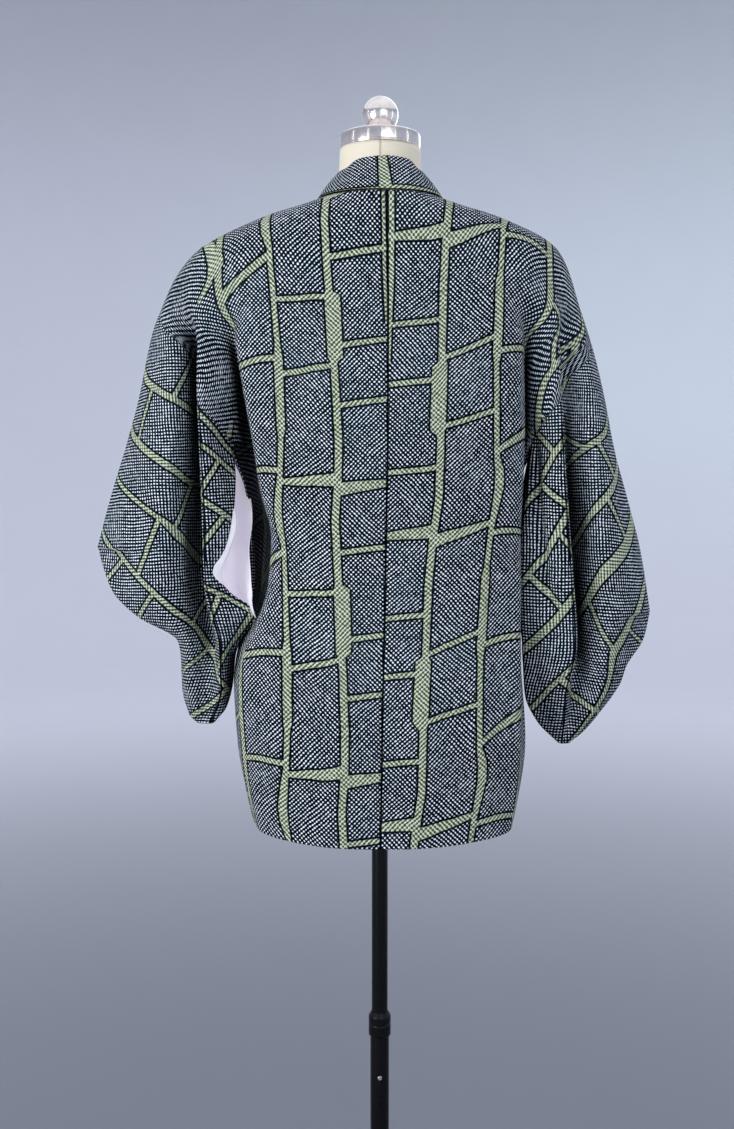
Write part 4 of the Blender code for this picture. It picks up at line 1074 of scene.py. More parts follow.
# Body, node, slot, rounding, steps round, profile and place of each piece
STAND_PIECES = {
    "steel_cap": ("form", "neck_cap", "brushed_steel", 0.0018, 96, [
        (0.0, CAP_Z1), (CAP_R * 0.55, CAP_Z1), (CAP_R, CAP_Z1),
        *turned_groove(CAP_R, CAP_Z0, CAP_GROOVE), (CAP_R, CAP_Z0), (0.0, CAP_Z0)], None),
    "steel_ball": ("form", "finial", "brushed_steel", 0.0006, 72, [
        *ball(BALL_Z, BALL_R, 90, -72, 40), (FOOT_NECK_R, CAP_Z1 + 0.0034),
        (FOOT_NECK_R, CAP_Z1 + 0.0018), (FOOT_R, CAP_Z1 + 0.0010), (FOOT_R, CAP_Z1 + FIT),
        (0.0, CAP_Z1 + FIT)], None),
    "pole_upper": ("form", "upper_tube", "black_enamel", 0.0004, 64, [
        (0.0, UPPER_Z1), (UPPER_R, UPPER_Z1), (UPPER_R, UPPER_Z0), (0.0, UPPER_Z0)], None),
    "pole_lower": ("stand", "lower_tube", "black_enamel", 0.0004, 64, [
        (LOWER_BORE, LOCK_Z0 - FIT), (LOWER_R, LOCK_Z0 - FIT), (LOWER_R, BASE_H + FIT),
        (LOWER_BORE, BASE_H + FIT), (LOWER_BORE, LOCK_Z0 - FIT)], None),
    "pole_lock": ("stand", "lock_collar", "black_enamel", 0.0008, 72, [
        (UPPER_R + FIT, LOCK_Z1), (LOCK_R - 0.0035, LOCK_Z1), (LOCK_R, LOCK_Z1 - 0.006),
        *turned_groove(LOCK_R, LOCK_Z0, LOCK_GROOVE), (LOCK_R, LOCK_Z0 + 0.002),
        (LOCK_R - 0.002, LOCK_Z0), (UPPER_R + FIT, LOCK_Z0), (UPPER_R + FIT, LOCK_Z1)], None),
    "pole_pin": ("stand", "pin", "brushed_steel", 0.0005, 32, [
        (0.0, PIN_H), (PIN_R, PIN_H), (PIN_R, 0.0), (0.0, 0.0)], PIN_PLACE),
    "round_base": ("stand", "base", "black_enamel", 0.0030, 128, [
        (0.0, BASE_H), (0.034, BASE_H), (0.148, 0.012), (BASE_R, 0.0095), (BASE_R, 0.0005),
        (0.150, 0.0), (0.0, 0.0)], None),
}
SHARP_ANGLE = math.radians(35.0)
ROUND_STEPS, ROUND_SHARE = 4, 0.45
AXIS_NEAR = 1e-6

# Stage
FLOOR_CLEAR = 0.0006
FLOOR_R, COVE_R, WALL_H = 6.0, 2.5, 6.0
# Painted light and shade of the paper: the distances from the stand over which its painted shade fades, the
# height up to which the painted light on the wall rises and above which painted shade darkens it, and how far
# to the sides that light reaches
FLOOR_SHADE_NEAR, FLOOR_SHADE_FAR, PAINTED_LIGHT_HEIGHT, PAINTED_LIGHT_SIDE = 0.5, 5.0, 2.2, 4.0
FLOOR_STEPS, COVE_STEPS = 128, 10
COVE_TURNS = [0.5 * math.pi * k / COVE_STEPS for k in range(1, COVE_STEPS + 1)]
FLOOR_PROFILE = [
    (0.0, 0.0), (1.0, 0.0), (FLOOR_R, 0.0),
    *((FLOOR_R + COVE_R * math.sin(turn), COVE_R * (1.0 - math.cos(turn))) for turn in COVE_TURNS),
    (FLOOR_R + COVE_R, WALL_H)]
FORM_MIDDLE = (0.0, 0.0, 1.10)
SIDE_SHARE = 0.25
LIGHT_SPREAD = math.radians(90.0)
KEY_SIZE, SIDE_SIZE, FRONT_SIZE = 1.6, 1.8, 2.2
KEY_PLACE, SIDE_PLACE, FRONT_PLACE = (2.2, 1.9, 1.1), (-1.05, 2.70, 1.7), (-0.6, -2.8, 2.2)
STRIP_TURNS = (-84.0, -42.0, -5.0, 35.0, 83.0)
STRIP_SIZE, STRIP_AWAY, STRIP_Z = (0.10, 2.50), 3.20, 1.45
# Camera: height of its frame, reach of its lens and rise of the horizon over the middle, in pixels
FRAME_PX, FOCUS_PX, RISE_PX = 1129.0, 1200.0, 64.5
CAMERA_TILT = math.atan(RISE_PX / FOCUS_PX)
CAMERA_PLACE = (0.01666, 1.54, 1.084)
CAMERA_SENSOR = 36.0
CAMERA_LENS = FOCUS_PX * CAMERA_SENSOR / FRAME_PX


def gusset_sheet(side):
    """Narrow wedge between the side seams of the back and the front."""
    half = Garment(side)
    sheet = Sheet(SIDES[side])
    above = None
    top = UNDERARM_Z - GUSSET_START
    for z in [top] + even_levels(top, SIDE_HEM_Z + EDGE_COLUMNS[1]) + [SIDE_HEM_Z]:
        path = half.gusset_section(z)
        spots = np.linspace(0.0, path.length, GUSSET_COLUMNS)
        xy = along_path(path, spots)
        cloth = np.column_stack([GUSSET_PLACE + spots, np.full(len(spots), UNDERARM_Z - z)])
        sink = groove(spots) + groove(path.length - spots)
        new = sheet.row(np.column_stack([xy, np.full(len(xy), z)]), cloth, sink)
        if above:
            sheet.between(above, new, turn=True)
        above = new
    return sheet


def collar_station(points, k, station):
    """One row across the collar, from its seam to its free edge."""
    x, y, z = points[k]
    if station < 1.0:
        ahead, back = points[min(k + 1, len(points) - 1)], points[max(k - 1, 0)]
        along = (ahead - back)[:2]
        along = along / np.linalg.norm(along)
        inward = np.array([along[1], -along[0]])
    else:
        inward = np.array([-1.0, 0.0])
    across = read(COLLAR_LEAN, "across", station, "station")
    up = read(COLLAR_LEAN, "up", station, "station")
    height = math.hypot(across, up)
    shares = np.linspace(COLLAR_SEAM_GAP / height, 1.0, COLLAR_COLUMNS)
    swell = COLLAR_SWELL * np.sin(math.pi * shares)
    side_way = across * shares - swell * up / height
    return np.column_stack([x + inward[0] * side_way, y + inward[1] * side_way,
                            z + up * shares + swell * across / height]), shares


def collar_half(edge):
    """Rows of half the collar with their cloth coordinates, centre back first."""
    neck = edge[0][1]
    keep = np.arange(0, len(neck), COLLAR_SKIP)
    points = [neck[k] for k in keep]
    stations = [k / (len(neck) - 1) for k in keep]
    drop = NECK_Z - FRONT_HEM_Z
    for z, _, front in edge[1:]:
        if np.linalg.norm(np.array(front[0]) - points[-1]) > COLLAR_MIN_STEP:
            points.append(np.array(front[0]))
            stations.append(1 + 2 * (NECK_Z - z) / drop)
    run = np.concatenate([[0.0], np.cumsum(np.linalg.norm(np.diff(points, axis=0), axis=1))])
    rows = []
    for k, station in enumerate(stations):
        row, shares = collar_station(points, k, station)
        rows.append((row, np.column_stack([shares * COLLAR_WIDTH, np.full(len(shares), run[k])])))
    return rows


def collar_sheet(edges):
    sheet = Sheet()
    above = None
    right = [(row * (-1, 1, 1), cloth * (1, -1)) for row, cloth in collar_half(edges["right"])[:0:-1]]
    for points, cloth in right + collar_half(edges["left"]):
        new = sheet.row(points, cloth)
        if above:
            sheet.between(above, new, turn=True)
        above = new
    return sheet


def creases(rows):
    """Soft folds: each from place to place in cloth coordinates, with its height and half width."""
    def shift(cloth, _):
        total = np.zeros(len(cloth))
        for u0, v0, u1, v1, height, width in rows:
            run = np.array([u1 - u0, v1 - v0])
            length = np.linalg.norm(run)
            gone = cloth - (u0, v0)
            share = gone @ run / length ** 2
            away = (gone[:, 0] * run[1] - gone[:, 1] * run[0]) / length
            taper = np.clip(1.0 - (2.0 * share - 1.0) ** 2, 0.0, 1.0)
            total += height * taper * np.exp(-((away / width) ** 2))
        return total
    return shift


def sleeve_creases(side):
    """The folds of the back and of the front of a sleeve, which share their cloth coordinates."""
    back, front = (creases(SLEEVE_CREASES[side][face]) for face in (1, -1))

    def shift(cloth, places):
        return np.where(places[:, 1] > 0.0, back(cloth, places), front(cloth, places))
    return shift


def dressed(name, mesh, body, nodes, finish, thickness=CLOTH):
    """An object of the dressed part, riding on its body in place of its solids."""
    obj = bpy.data.objects.new(name, mesh)
    mesh.materials.append(finish)
    bpy.context.scene.collection.objects.link(obj)
    if thickness:
        shell = obj.modifiers.new("cloth", "SOLIDIFY")
        shell.thickness = thickness
        shell.offset = -1.0
        shell.use_even_offset = False
    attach(obj, body)
    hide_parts(*nodes)
    return obj


def dome(count):
    """Directions spread evenly over half a sphere, more of them near its top."""
    turn = math.pi * (3.0 - math.sqrt(5.0))
    heights = [math.sqrt((k + 0.5) / count) for k in range(count)]
    return [(math.sqrt(1.0 - h * h) * math.cos(turn * k), math.sqrt(1.0 - h * h) * math.sin(turn * k), h)
            for k, h in enumerate(heights)]


def lay_fold_shade(pieces, blockers):
    """Corner layer with how far each point of the cloth is shut in by the folds round it, for the painted
    shade in the folds; where the painted underarm shade is darker, that is taken.
    """
    points, faces = [], []
    for obj in blockers:
        start = len(points)
        points += [v.co.copy() for v in obj.data.vertices]
        faces += [[start + k for k in face.vertices] for face in obj.data.polygons]
    tree = BVHTree.FromPolygons(points, faces)
    rays = [Vector(ray) for ray in dome(FOLD_RAYS)]
    for obj in pieces:
        mesh = obj.data
        shut = np.zeros(len(mesh.vertices))
        for k, vertex in enumerate(mesh.vertices):
            normal = vertex.normal
            start = vertex.co + normal * FOLD_START
            turned = normal.to_track_quat("Z", "Y").to_matrix()
            for ray in rays:
                distance = tree.ray_cast(start, turned @ ray, FOLD_REACH)[3]
                if distance is not None:
                    shut[k] += 1.0 - (distance / FOLD_REACH) ** 2
        tuck = np.zeros(len(shut))
        mesh.attributes["tuck"].data.foreach_get("value", tuck)
        shut = np.maximum(shut / len(rays), tuck)
        corners = np.empty(len(mesh.loops), dtype=np.int32)
        mesh.loops.foreach_get("vertex_index", corners)
        values = np.repeat(shut[corners], 2).astype(np.float32)
        mesh.uv_layers.new(name="folds").data.foreach_set("uv", values)


def lathe(name, profile, steps, place=None):
    """A profile of radius and height, top to bottom down its outer side, turned round Z."""
    bm = bmesh.new()
    rings = []
    for r, z in profile:
        if r < AXIS_NEAR:
            rings.append([bm.verts.new((0.0, 0.0, z))])
            continue
        angles = (2 * math.pi * k / steps for k in range(steps))
        rings.append([bm.verts.new((r * math.cos(a), r * math.sin(a), z)) for a in angles])
    for upper, lower in zip(rings, rings[1:]):
        for k in range(steps):
            corners = [upper[k % len(upper)], lower[k % len(lower)],
                       lower[(k + 1) % len(lower)], upper[(k + 1) % len(upper)]]
            kept = [c for i, c in enumerate(corners) if c != corners[i - 1]]
            bm.faces.new(kept)
    if place:
        bmesh.ops.transform(bm, matrix=place, verts=bm.verts)
    mesh = bpy.data.meshes.new(name)
    bm.to_mesh(mesh)
    bm.free()
    mesh.shade_smooth()
    mesh.set_sharp_from_angle(angle=SHARP_ANGLE)
    return mesh


def rounded(profile, radius):
    """The profile with its corners off the axis rounded."""
    made = [profile[0]]
    for before, here, after in zip(profile, profile[1:], profile[2:]):
        b, h, a = (np.array(p) for p in (before, here, after))
        into, out = h - b, a - h
        size = min(radius, ROUND_SHARE * np.linalg.norm(into), ROUND_SHARE * np.linalg.norm(out))
        start = h - into / np.linalg.norm(into) * size
        end = h + out / np.linalg.norm(out) * size
        for k in range(ROUND_STEPS + 1):
            t = k / ROUND_STEPS
            made.append(tuple((1 - t) ** 2 * start + 2 * t * (1 - t) * h + t * t * end))
    return made + [profile[-1]]


class Signal:
    """A value in a material that is worked out with Python operators."""

    def __init__(self, finish, socket):
        self.finish = finish
        self.socket = socket

    def math(self, operation, *others, swap=False):
        """The result of a Math node on this value and others; swap puts this one last."""
        operands = [self, *others]
        if swap:
            operands.reverse()
        made = self.finish.node("Math", {"operation": operation}, dict(enumerate(operands)))
        return Signal(self.finish, made.outputs[0])

    def __add__(self, other):
        return self.math("ADD", other)

    def __sub__(self, other):
        return self.math("SUBTRACT", other)

    def __rsub__(self, other):
        return self.math("SUBTRACT", other, swap=True)

    def __mul__(self, other):
        return self.math("MULTIPLY", other)

    def __abs__(self):
        return self.math("ABSOLUTE")

    __radd__ = __add__
    __rmul__ = __mul__

    def least(self, other):
        return self.math("MINIMUM", other)

    def most(self, other):
        return self.math("MAXIMUM", other)

    def cosine(self):
        return self.math("COSINE")

    def root(self):
        return self.math("SQRT")

    def fade(self, low, high):
        """0 below low, 1 above high, smooth between; falls where low is above high."""
        made = self.finish.node(
            "MapRange", {"interpolation_type": "SMOOTHSTEP"},
            {"Value": self, "From Min": low, "From Max": high})
        return Signal(self.finish, made.outputs[0])


class Finish:
    """A material under construction, with a Principled shader."""

    def __init__(self, name):
        self.material = bpy.data.materials.new(name)
        self.material.use_nodes = True
        self.tree = self.material.node_tree
        self.shader = self.tree.nodes["Principled BSDF"]

    def node(self, kind, settings=None, sockets=None):
        """A node of that kind: its settings first, then the values or links of its sockets."""
        made = self.tree.nodes.new("ShaderNode" + kind)
        for name, value in (settings or {}).items():
            setattr(made, name, value)
        self.feed(made, sockets or {})
        return made

    def feed(self, node, sockets):
        """Links or sets sockets of a node."""
        for name, value in sockets.items():
            if isinstance(value, Signal):
                self.tree.links.new(value.socket, node.inputs[name])
            else:
                node.inputs[name].default_value = value

    def out(self, node, output=0):
        return Signal(self, node.outputs[output])

    def parts(self, vector):
        """The three numbers of a vector."""
        split = self.node("SeparateXYZ", sockets={0: vector})
        return [Signal(self, socket) for socket in split.outputs]

    def vector(self, x, y, z=0.0):
        return self.out(self.node("CombineXYZ", sockets={"X": x, "Y": y, "Z": z}))

    def layer(self, name):
        """Both parts of a corner layer of the mesh."""
        return self.parts(self.out(self.node("UVMap", {"uv_map": name})))[:2]

    def noise(self, vector, scale, detail=2.0, roughness=0.5):
        made = self.node("TexNoise", {"noise_dimensions": "3D"}, {
            "Vector": vector, "Scale": scale, "Detail": detail, "Roughness": roughness})
        return self.out(made)

    def mix(self, share, first, second):
        """Colour between two others."""
        made = self.node("Mix", {"data_type": "RGBA"}, {0: share, 6: first, 7: second})
        return self.out(made, 2)

    def bump(self, height, depth, strength):
        made = self.node("Bump", sockets={"Height": height, "Distance": depth, "Strength": strength})
        self.feed(self.shader, {"Normal": self.out(made)})

    def place(self):
        """Place in the object's own space."""
        return self.out(self.node("TexCoord"), "Object")


def plain(colour):
    """That colour with nothing showing through it."""
    return (*colour, 1.0)


def per_metre(pitch):
    """Radians per metre of a wave of that length."""
    return 2.0 * math.pi / pitch


# Finishes: how far the ties stray from their lattice in radians, sizes in metres, and pairs of
# places where an edge starts and ends
TIE_DRIFT, TIE_JITTER = 18.0, 2.4
SEAM_EDGE, BAND_EDGE, RIM_EDGE = (0.0007, 0.0020), (0.0004, -0.0004), (0.0020, 0.0030)
BAND_WOBBLE = 0.0016
LINING_WARP, LINING_WEFT, LINING_BUMP = 0.0007, 0.0006, 0.0012
THREAD_PITCH, LINEN_BUMP = 0.0011, 0.0006
DENT_EDGE = (0.0022, 0.0)
STITCH_PITCH, STITCH_AWAY, STITCH_EDGE = 0.0032, 0.0035, (0.0009, 0.0003)
STEEL_BUMP, ENAMEL_BUMP = 0.00006, 0.00008


def tie_dyed(look):
    """Silk tied into dots on a slanting lattice: pale dots on dark fields, sage bands between them, with
    painted shade in the deep folds.
    """
    made = Finish("shibori_silk")
    centre, _ = made.layer("cloth")
    u, v = made.layer("lattice")
    flat = made.vector(u, v)
    drift = made.noise(flat, 9.0, 2.0) - 0.5
    jitter = made.noise(flat, 190.0, 1.0) - 0.5
    turn = per_metre(look.dot_pitch * math.sqrt(2.0))
    drift_turn = drift * TIE_DRIFT
    p = (u + v) * turn + drift_turn + jitter * TIE_JITTER
    q = (u - v) * turn - drift_turn + jitter * TIE_JITTER
    lean = made.noise(flat, 14.0, 1.0).fade(0.36, 0.64) * 0.34 + 0.33
    wave = p.cosine() * lean + q.cosine() * (1.0 - lean)

    line, line_half = made.layer("lines")
    bar, bar_half = made.layer("bars")
    wobble = made.noise(flat, 240.0, 1.0) * BAND_WOBBLE - 0.5 * BAND_WOBBLE
    edge = (abs(line) - line_half).least(abs(bar) - bar_half) + wobble
    seam = abs(centre).fade(*SEAM_EDGE)
    band = edge.fade(*BAND_EDGE)
    rim = edge.fade(*RIM_EDGE)
    open_field = rim.most(band)
    # Painted shade: how deep in its folds the cloth lies, from the fold layer
    shut, _ = made.layer("folds")
    fold = shut.fade(look.fold_shade_start, look.fold_shade_end)

    size = made.noise(flat, 130.0, 2.0) * 0.9 - 0.45
    dots = (wave + size).fade(0.24, 0.54)
    core = (wave + size).fade(0.42, 0.75)
    tone = made.noise(flat, 26.0, 3.0, 0.6).fade(0.36, 0.66)
    soft = made.noise(flat, 5.0, 1.0).fade(0.35, 0.65)
    dot = made.mix(tone, plain(look.dot_shade), plain(look.dot_colour))
    dot = made.mix(core * 0.75, dot, plain(look.dot_core))
    ground = made.mix(soft, plain(look.ground_and_shade_colour), plain(look.ground_lift))
    field = made.mix(dots * rim, ground, dot)
    sage = made.mix((wave + size).fade(-0.25, 0.35), plain(look.band_ground), plain(look.band_dot))
    colour = made.mix(band, field, sage)
    colour = made.mix(seam, plain(look.ground_and_shade_colour), colour)
    # Painted shade: the cloth turns to the dark ground colour deep in its folds
    colour = made.mix(fold * 0.94, colour, plain(look.ground_and_shade_colour))
    made.feed(made.shader, {
        "Base Color": colour, "Roughness": 0.80 - dots * 0.08, "Specular IOR Level": 0.03})
    made.bump(wave.fade(-0.6, 0.9) * open_field + band * 0.35, look.tie_height, 0.8)
    return made.material


def plain_silk(look):
    """Thin white silk with soft creases, with a painted glow that brightens it inside the sleeve."""
    made = Finish("lining_silk")
    u, v = made.layer("cloth")
    flat = made.vector(u, v)
    folds = made.noise(flat, 30.0, 3.0)
    weave = (u * per_metre(LINING_WARP)).cosine() * (v * per_metre(LINING_WEFT)).cosine()
    colour = made.mix(folds.fade(0.3, 0.7), plain(look.lining_colour), plain(look.lining_shade))
    # Emission is painted light: the lining glows so that it looks lit inside the shadowed sleeve
    made.feed(made.shader, {
        "Base Color": colour, "Roughness": folds * 0.15 + 0.42, "Emission Color": colour,
        "Emission Strength": LINING_PAINTED_GLOW, "Sheen Weight": 0.2})
    made.bump(folds * 0.9 + weave * 0.05, LINING_BUMP, 0.6)
    return made.material


def linen(look):
    """Plain weave cover of the form, with stitched seams."""
    made = Finish("form_linen")
    u, v = made.layer("cloth")
    flat = made.vector(u, v)
    warp = (u * per_metre(THREAD_PITCH) + made.noise(flat, 90.0) * 2.0).cosine()
    weft = (v * per_metre(THREAD_PITCH) + made.noise(flat, 80.0) * 2.0).cosine()
    slub = made.noise(made.vector(u * 12.0, v * 260.0), 1.0, 2.0)
    weave = warp.most(weft)
    seam, _ = made.layer("seams")
    dent = abs(seam).fade(*DENT_EDGE)
    stitch = (v * per_metre(STITCH_PITCH)).cosine().fade(-0.2, 0.4)
    stitch = stitch * (abs(seam) - STITCH_AWAY).fade(*STITCH_EDGE)
    stain = made.noise(flat, 6.0, 3.0).fade(0.35, 0.75)
    colour = made.mix(stain * 0.6, plain(look.linen_colour), plain(look.linen_shade))
    gaps = slub.fade(0.55, 0.75) * 0.25 + weave.fade(0.2, -0.9) * 0.18
    colour = made.mix(gaps, colour, plain(look.linen_thread))
    colour = made.mix(dent * 0.7, colour, plain(look.linen_thread))
    made.feed(made.shader, {
        "Base Color": colour, "Roughness": slub * 0.1 + 0.78, "Sheen Weight": 0.15})
    made.bump(weave * 0.12 - dent * 1.6 + stitch * 0.25, LINEN_BUMP, 0.8)
    return made.material


def steel(look):
    """Turned steel with fine tool marks round the axis."""
    made = Finish("turned_steel")
    place = made.place()
    x, y, z = made.parts(place)
    marks = made.noise(made.vector(x * 6.0, y * 6.0, z * 2600.0), 1.0, 2.0)
    smear = made.noise(place, 60.0, 3.0)
    colour = made.mix(smear.fade(0.35, 0.7) * 0.5, plain(look.steel_colour), plain(look.steel_shade))
    made.feed(made.shader, {
        "Base Color": colour, "Roughness": marks * 0.10 + smear * 0.06 + 0.07, "Metallic": 1.0})
    made.bump(marks, STEEL_BUMP, 0.6)
    return made.material


def enamel(look):
    """Satin black paint with a faint skin and rubbed marks."""
    made = Finish("satin_enamel")
    place = made.place()
    x, y, z = made.parts(place)
    skin = made.noise(place, 900.0, 2.0)
    rub = made.noise(made.vector(x * 50.0, y * 50.0, z * 7.0), 1.0, 4.0, 0.65).fade(0.56, 0.78)
    colour = made.mix(rub * 0.5, plain(look.enamel_colour), plain(look.enamel_rub))
    made.feed(made.shader, {
        "Base Color": colour, "Roughness": rub * 0.14 + skin * 0.08 + 0.24,
        "Specular IOR Level": 0.16, "Coat Weight": 0.03, "Coat Roughness": 0.2})
    made.bump(skin, ENAMEL_BUMP, 0.5)
    return made.material


def painted_studio_paper(look):
    """Studio paper with painted light and shade: painted darker near the stand and paler away from it, with a
    painted pool of light on one side of the wall and painted shade towards the ceiling.
    """
    made = Finish("studio_floor")
    place = made.place()
    x, y, z = made.parts(place)
    grain = made.noise(place, 3.0, 4.0)
    # Painted shade: the paper is darker near the stand
    away = (x * x + y * y).root().fade(FLOOR_SHADE_NEAR, FLOOR_SHADE_FAR)
    # Painted shade towards the ceiling
    high = z.fade(PAINTED_LIGHT_HEIGHT, WALL_H)
    # Painted light: a brighter pool on one side of the wall
    painted_wall_light = x.fade(PAINTED_LIGHT_SIDE, -PAINTED_LIGHT_SIDE) * z.fade(0.0, PAINTED_LIGHT_HEIGHT)
    colour = made.mix(away, plain(look.paper_shade_colour), plain(look.wall_colour))
    colour = made.mix(painted_wall_light, colour, plain(look.painted_wall_light_colour))
    colour = made.mix(high * 0.62 + grain * 0.04, colour, plain(look.paper_shade_colour))
    made.feed(made.shader, {"Base Color": colour, "Roughness": grain * 0.1 + 0.85})
    return made.material


def colour_property(name, description, default):
    """A colour that a user may change."""
    return bpy.props.FloatVectorProperty(
        name=name, description=description, default=default, subtype="COLOR", size=3, min=0.0, max=1.0)


class HaoriClothLook(bpy.types.PropertyGroup):
    dot_pitch: bpy.props.FloatProperty(
        name="Dot pitch", description="Distance between neighbouring tied dots",
        default=0.0040, min=0.002, max=0.01, unit="LENGTH")
    tie_height: bpy.props.FloatProperty(
        name="Tie height", description="How far the tied dots stand up from the cloth",
        default=0.0011, min=0.0, max=0.003, unit="LENGTH")
    # Painted shade in the folds: how shut in a point must be for the shade to begin and to be darkest
    fold_shade_start: bpy.props.FloatProperty(
        name="Fold start", description="Share of the surroundings shut out where a fold starts to darken",
        default=0.50, min=0.0, max=1.0, subtype="FACTOR")
    fold_shade_end: bpy.props.FloatProperty(
        name="Fold end", description="Share of the surroundings shut out where a fold is darkest",
        default=0.95, min=0.0, max=1.0, subtype="FACTOR")
    dot_colour: colour_property("Dots", "Tied dots of the fields", (0.60, 0.71, 0.83))
    dot_shade: colour_property("Greyer dots", "Tied dots where the dye crept in", (0.27, 0.42, 0.54))
    dot_core: colour_property("Dot tips", "Tips of the tied dots", (0.97, 0.98, 1.00))
    # The ground colour is also the colour of the painted shade in the folds
    ground_and_shade_colour: colour_property("Ground", "Dye between the dots", (0.001, 0.002, 0.004))
    ground_lift: colour_property("Thin ground", "Dye where it took less", (0.003, 0.008, 0.013))
    band_dot: colour_property("Band dots", "Tied dots of the sage bands", (0.67, 0.73, 0.57))
    band_ground: colour_property("Band ground", "Dye of the sage bands", (0.064, 0.090, 0.042))
    lining_colour: colour_property("Lining", "White silk inside the sleeve", (0.97, 0.95, 0.98))
    lining_shade: colour_property("Lining tint", "Pink tint of the lining", (0.87, 0.84, 0.97))


class HaoriStandLook(bpy.types.PropertyGroup):
    linen_colour: colour_property("Linen", "Cover of the form", (0.86, 0.79, 0.63))
    linen_shade: colour_property("Linen shade", "Handled places of the cover", (0.78, 0.70, 0.53))
    linen_thread: colour_property("Linen thread", "Gaps of the weave and the seams", (0.50, 0.42, 0.30))
    steel_colour: colour_property("Steel", "Neck cap and ball", (0.95, 0.87, 0.82))
    steel_shade: colour_property("Steel shade", "Duller places of the steel", (0.58, 0.54, 0.51))
    enamel_colour: colour_property("Enamel", "Black paint of the pole and base", (0.003, 0.003, 0.004))
    enamel_rub: colour_property("Rubbed enamel", "Places rubbed by hands", (0.016, 0.016, 0.018))


class HaoriStageLook(bpy.types.PropertyGroup):
    # Painted shade of the paper, near the stand and towards the ceiling
    paper_shade_colour: colour_property("Near floor", "Plain studio floor round the stand", (0.190, 0.205, 0.240))
    wall_colour: colour_property("Far floor", "The floor's far part and the wall", (0.765, 0.77, 0.83))
    # Painted light on one side of the wall
    painted_wall_light_colour: colour_property(
        "Bright wall", "The side of the wall that the light falls on", (0.85, 0.91, 0.95))
    room_colour: colour_property("Room", "Plain studio walls", (0.60, 0.63, 0.70))
    room_strength: bpy.props.FloatProperty(
        name="Room light", description="Strength of the light from all round", default=1.5, min=0.0, max=5.0)
    key_power: bpy.props.FloatProperty(
        name="Key light", description="Soft light on the back of the jacket", default=12.5, min=0.0,
        max=500.0, unit="POWER")
    fill_power: bpy.props.FloatProperty(
        name="Fill light", description="Soft light on the front of the jacket", default=6.0, min=0.0,
        max=500.0, unit="POWER")
    strip_power: bpy.props.FloatProperty(
        name="Strip lights", description="Tall narrow lights that the steel shows", default=2.4, min=0.0,
        max=100.0, unit="POWER")


def finish_of(name, maker, look):
    """A finish, made the first time that it is asked for."""
    return bpy.data.materials.get(name) or maker(look)


def shibori_finish(context):
    return finish_of("shibori_silk", tie_dyed, context.scene.haori_cloth)


class HAORI_OT_bodies(bpy.types.Operator):
    """Hang the two body lengths over the shoulders"""
    bl_idname = "haori.bodies"
    bl_label = "Body Lengths"

    def execute(self, context):
        for side in SIDES:
            sheet, _ = body_sheet(side)
            name = "body_cloth_" + side
            mesh = sheet.mesh(name, creases(BODY_CREASES[side]))
            BODY_CHART[side].lay(mesh, BODY_PLACE[side])
            obj = dressed(name, mesh, "form", ["body_" + side], shibori_finish(context))
        return {"FINISHED"}


class HAORI_OT_sleeves(bpy.types.Operator):
    """Hang the two sleeves with their open cuffs and inner edges"""
    bl_idname = "haori.sleeves"
    bl_label = "Sleeves"

    def execute(self, context):
        for side in SIDES:
            name = "sleeve_cloth_" + side
            mesh = sleeve_sheet(side).mesh(name, sleeve_creases(side))
            SLEEVE_CHART[side].lay(mesh, sleeve_place)
            obj = dressed(name, mesh, "form", ["sleeve_" + side], shibori_finish(context))
        return {"FINISHED"}


class HAORI_OT_gussets(bpy.types.Operator):
    """Set the narrow wedges between the side seams"""
    bl_idname = "haori.gussets"
    bl_label = "Side Gussets"

    def execute(self, context):
        for side in SIDES:
            name = "gusset_cloth_" + side
            mesh = gusset_sheet(side).mesh(name)
            CLOTH_CHART.lay(mesh, BODY_PLACE[side])
            obj = dressed(name, mesh, "form", ["gusset_" + side], shibori_finish(context))
        return {"FINISHED"}


class HAORI_OT_collar(bpy.types.Operator):
    """Set the collar strip round the neck and down both front edges"""
    bl_idname = "haori.collar"
    bl_label = "Collar"

    def execute(self, context):
        edges = {side: body_sheet(side)[1] for side in SIDES}
        mesh = collar_sheet(edges).mesh("collar_cloth", lambda cloth, _: np.full(len(cloth), COLLAR_CLOTH))
        COLLAR_CHART.lay(mesh, lambda cloth: (cloth[:, 0], cloth[:, 1]))
        obj = dressed("collar_cloth", mesh, "form", ["collar"],
                      shibori_finish(context), COLLAR_CLOTH)
        return {"FINISHED"}


class HAORI_OT_fold_shade(bpy.types.Operator):
    """Find how deep each point of the cloth lies in its folds, for the painted shade that darkens the cloth
    there
    """
    bl_idname = "haori.folds"
    bl_label = "Fold Depth"

    def execute(self, context):
        pieces = [obj for obj in bpy.data.objects if "_cloth" in obj.name]
        lay_fold_shade(pieces, pieces + [bpy.data.objects["form_cover"]])
        return {"FINISHED"}


class HAORI_OT_lining(bpy.types.Operator):
    """Line the left sleeve where its open inner edge shows the inside"""
    bl_idname = "haori.lining"
    bl_label = "Sleeve Lining"

    def execute(self, context):
        finish = finish_of("lining_silk", plain_silk, context.scene.haori_cloth)
        sheet = sleeve_sheet("left", LINING_INSET)
        mesh = sheet.mesh("lining_cloth_left", lambda cloth, _: np.full(len(cloth), -LINING_DEPTH))
        obj = dressed("lining_cloth_left", mesh, "form", ["lining_left"],
                      finish, LINING_CLOTH)
        return {"FINISHED"}


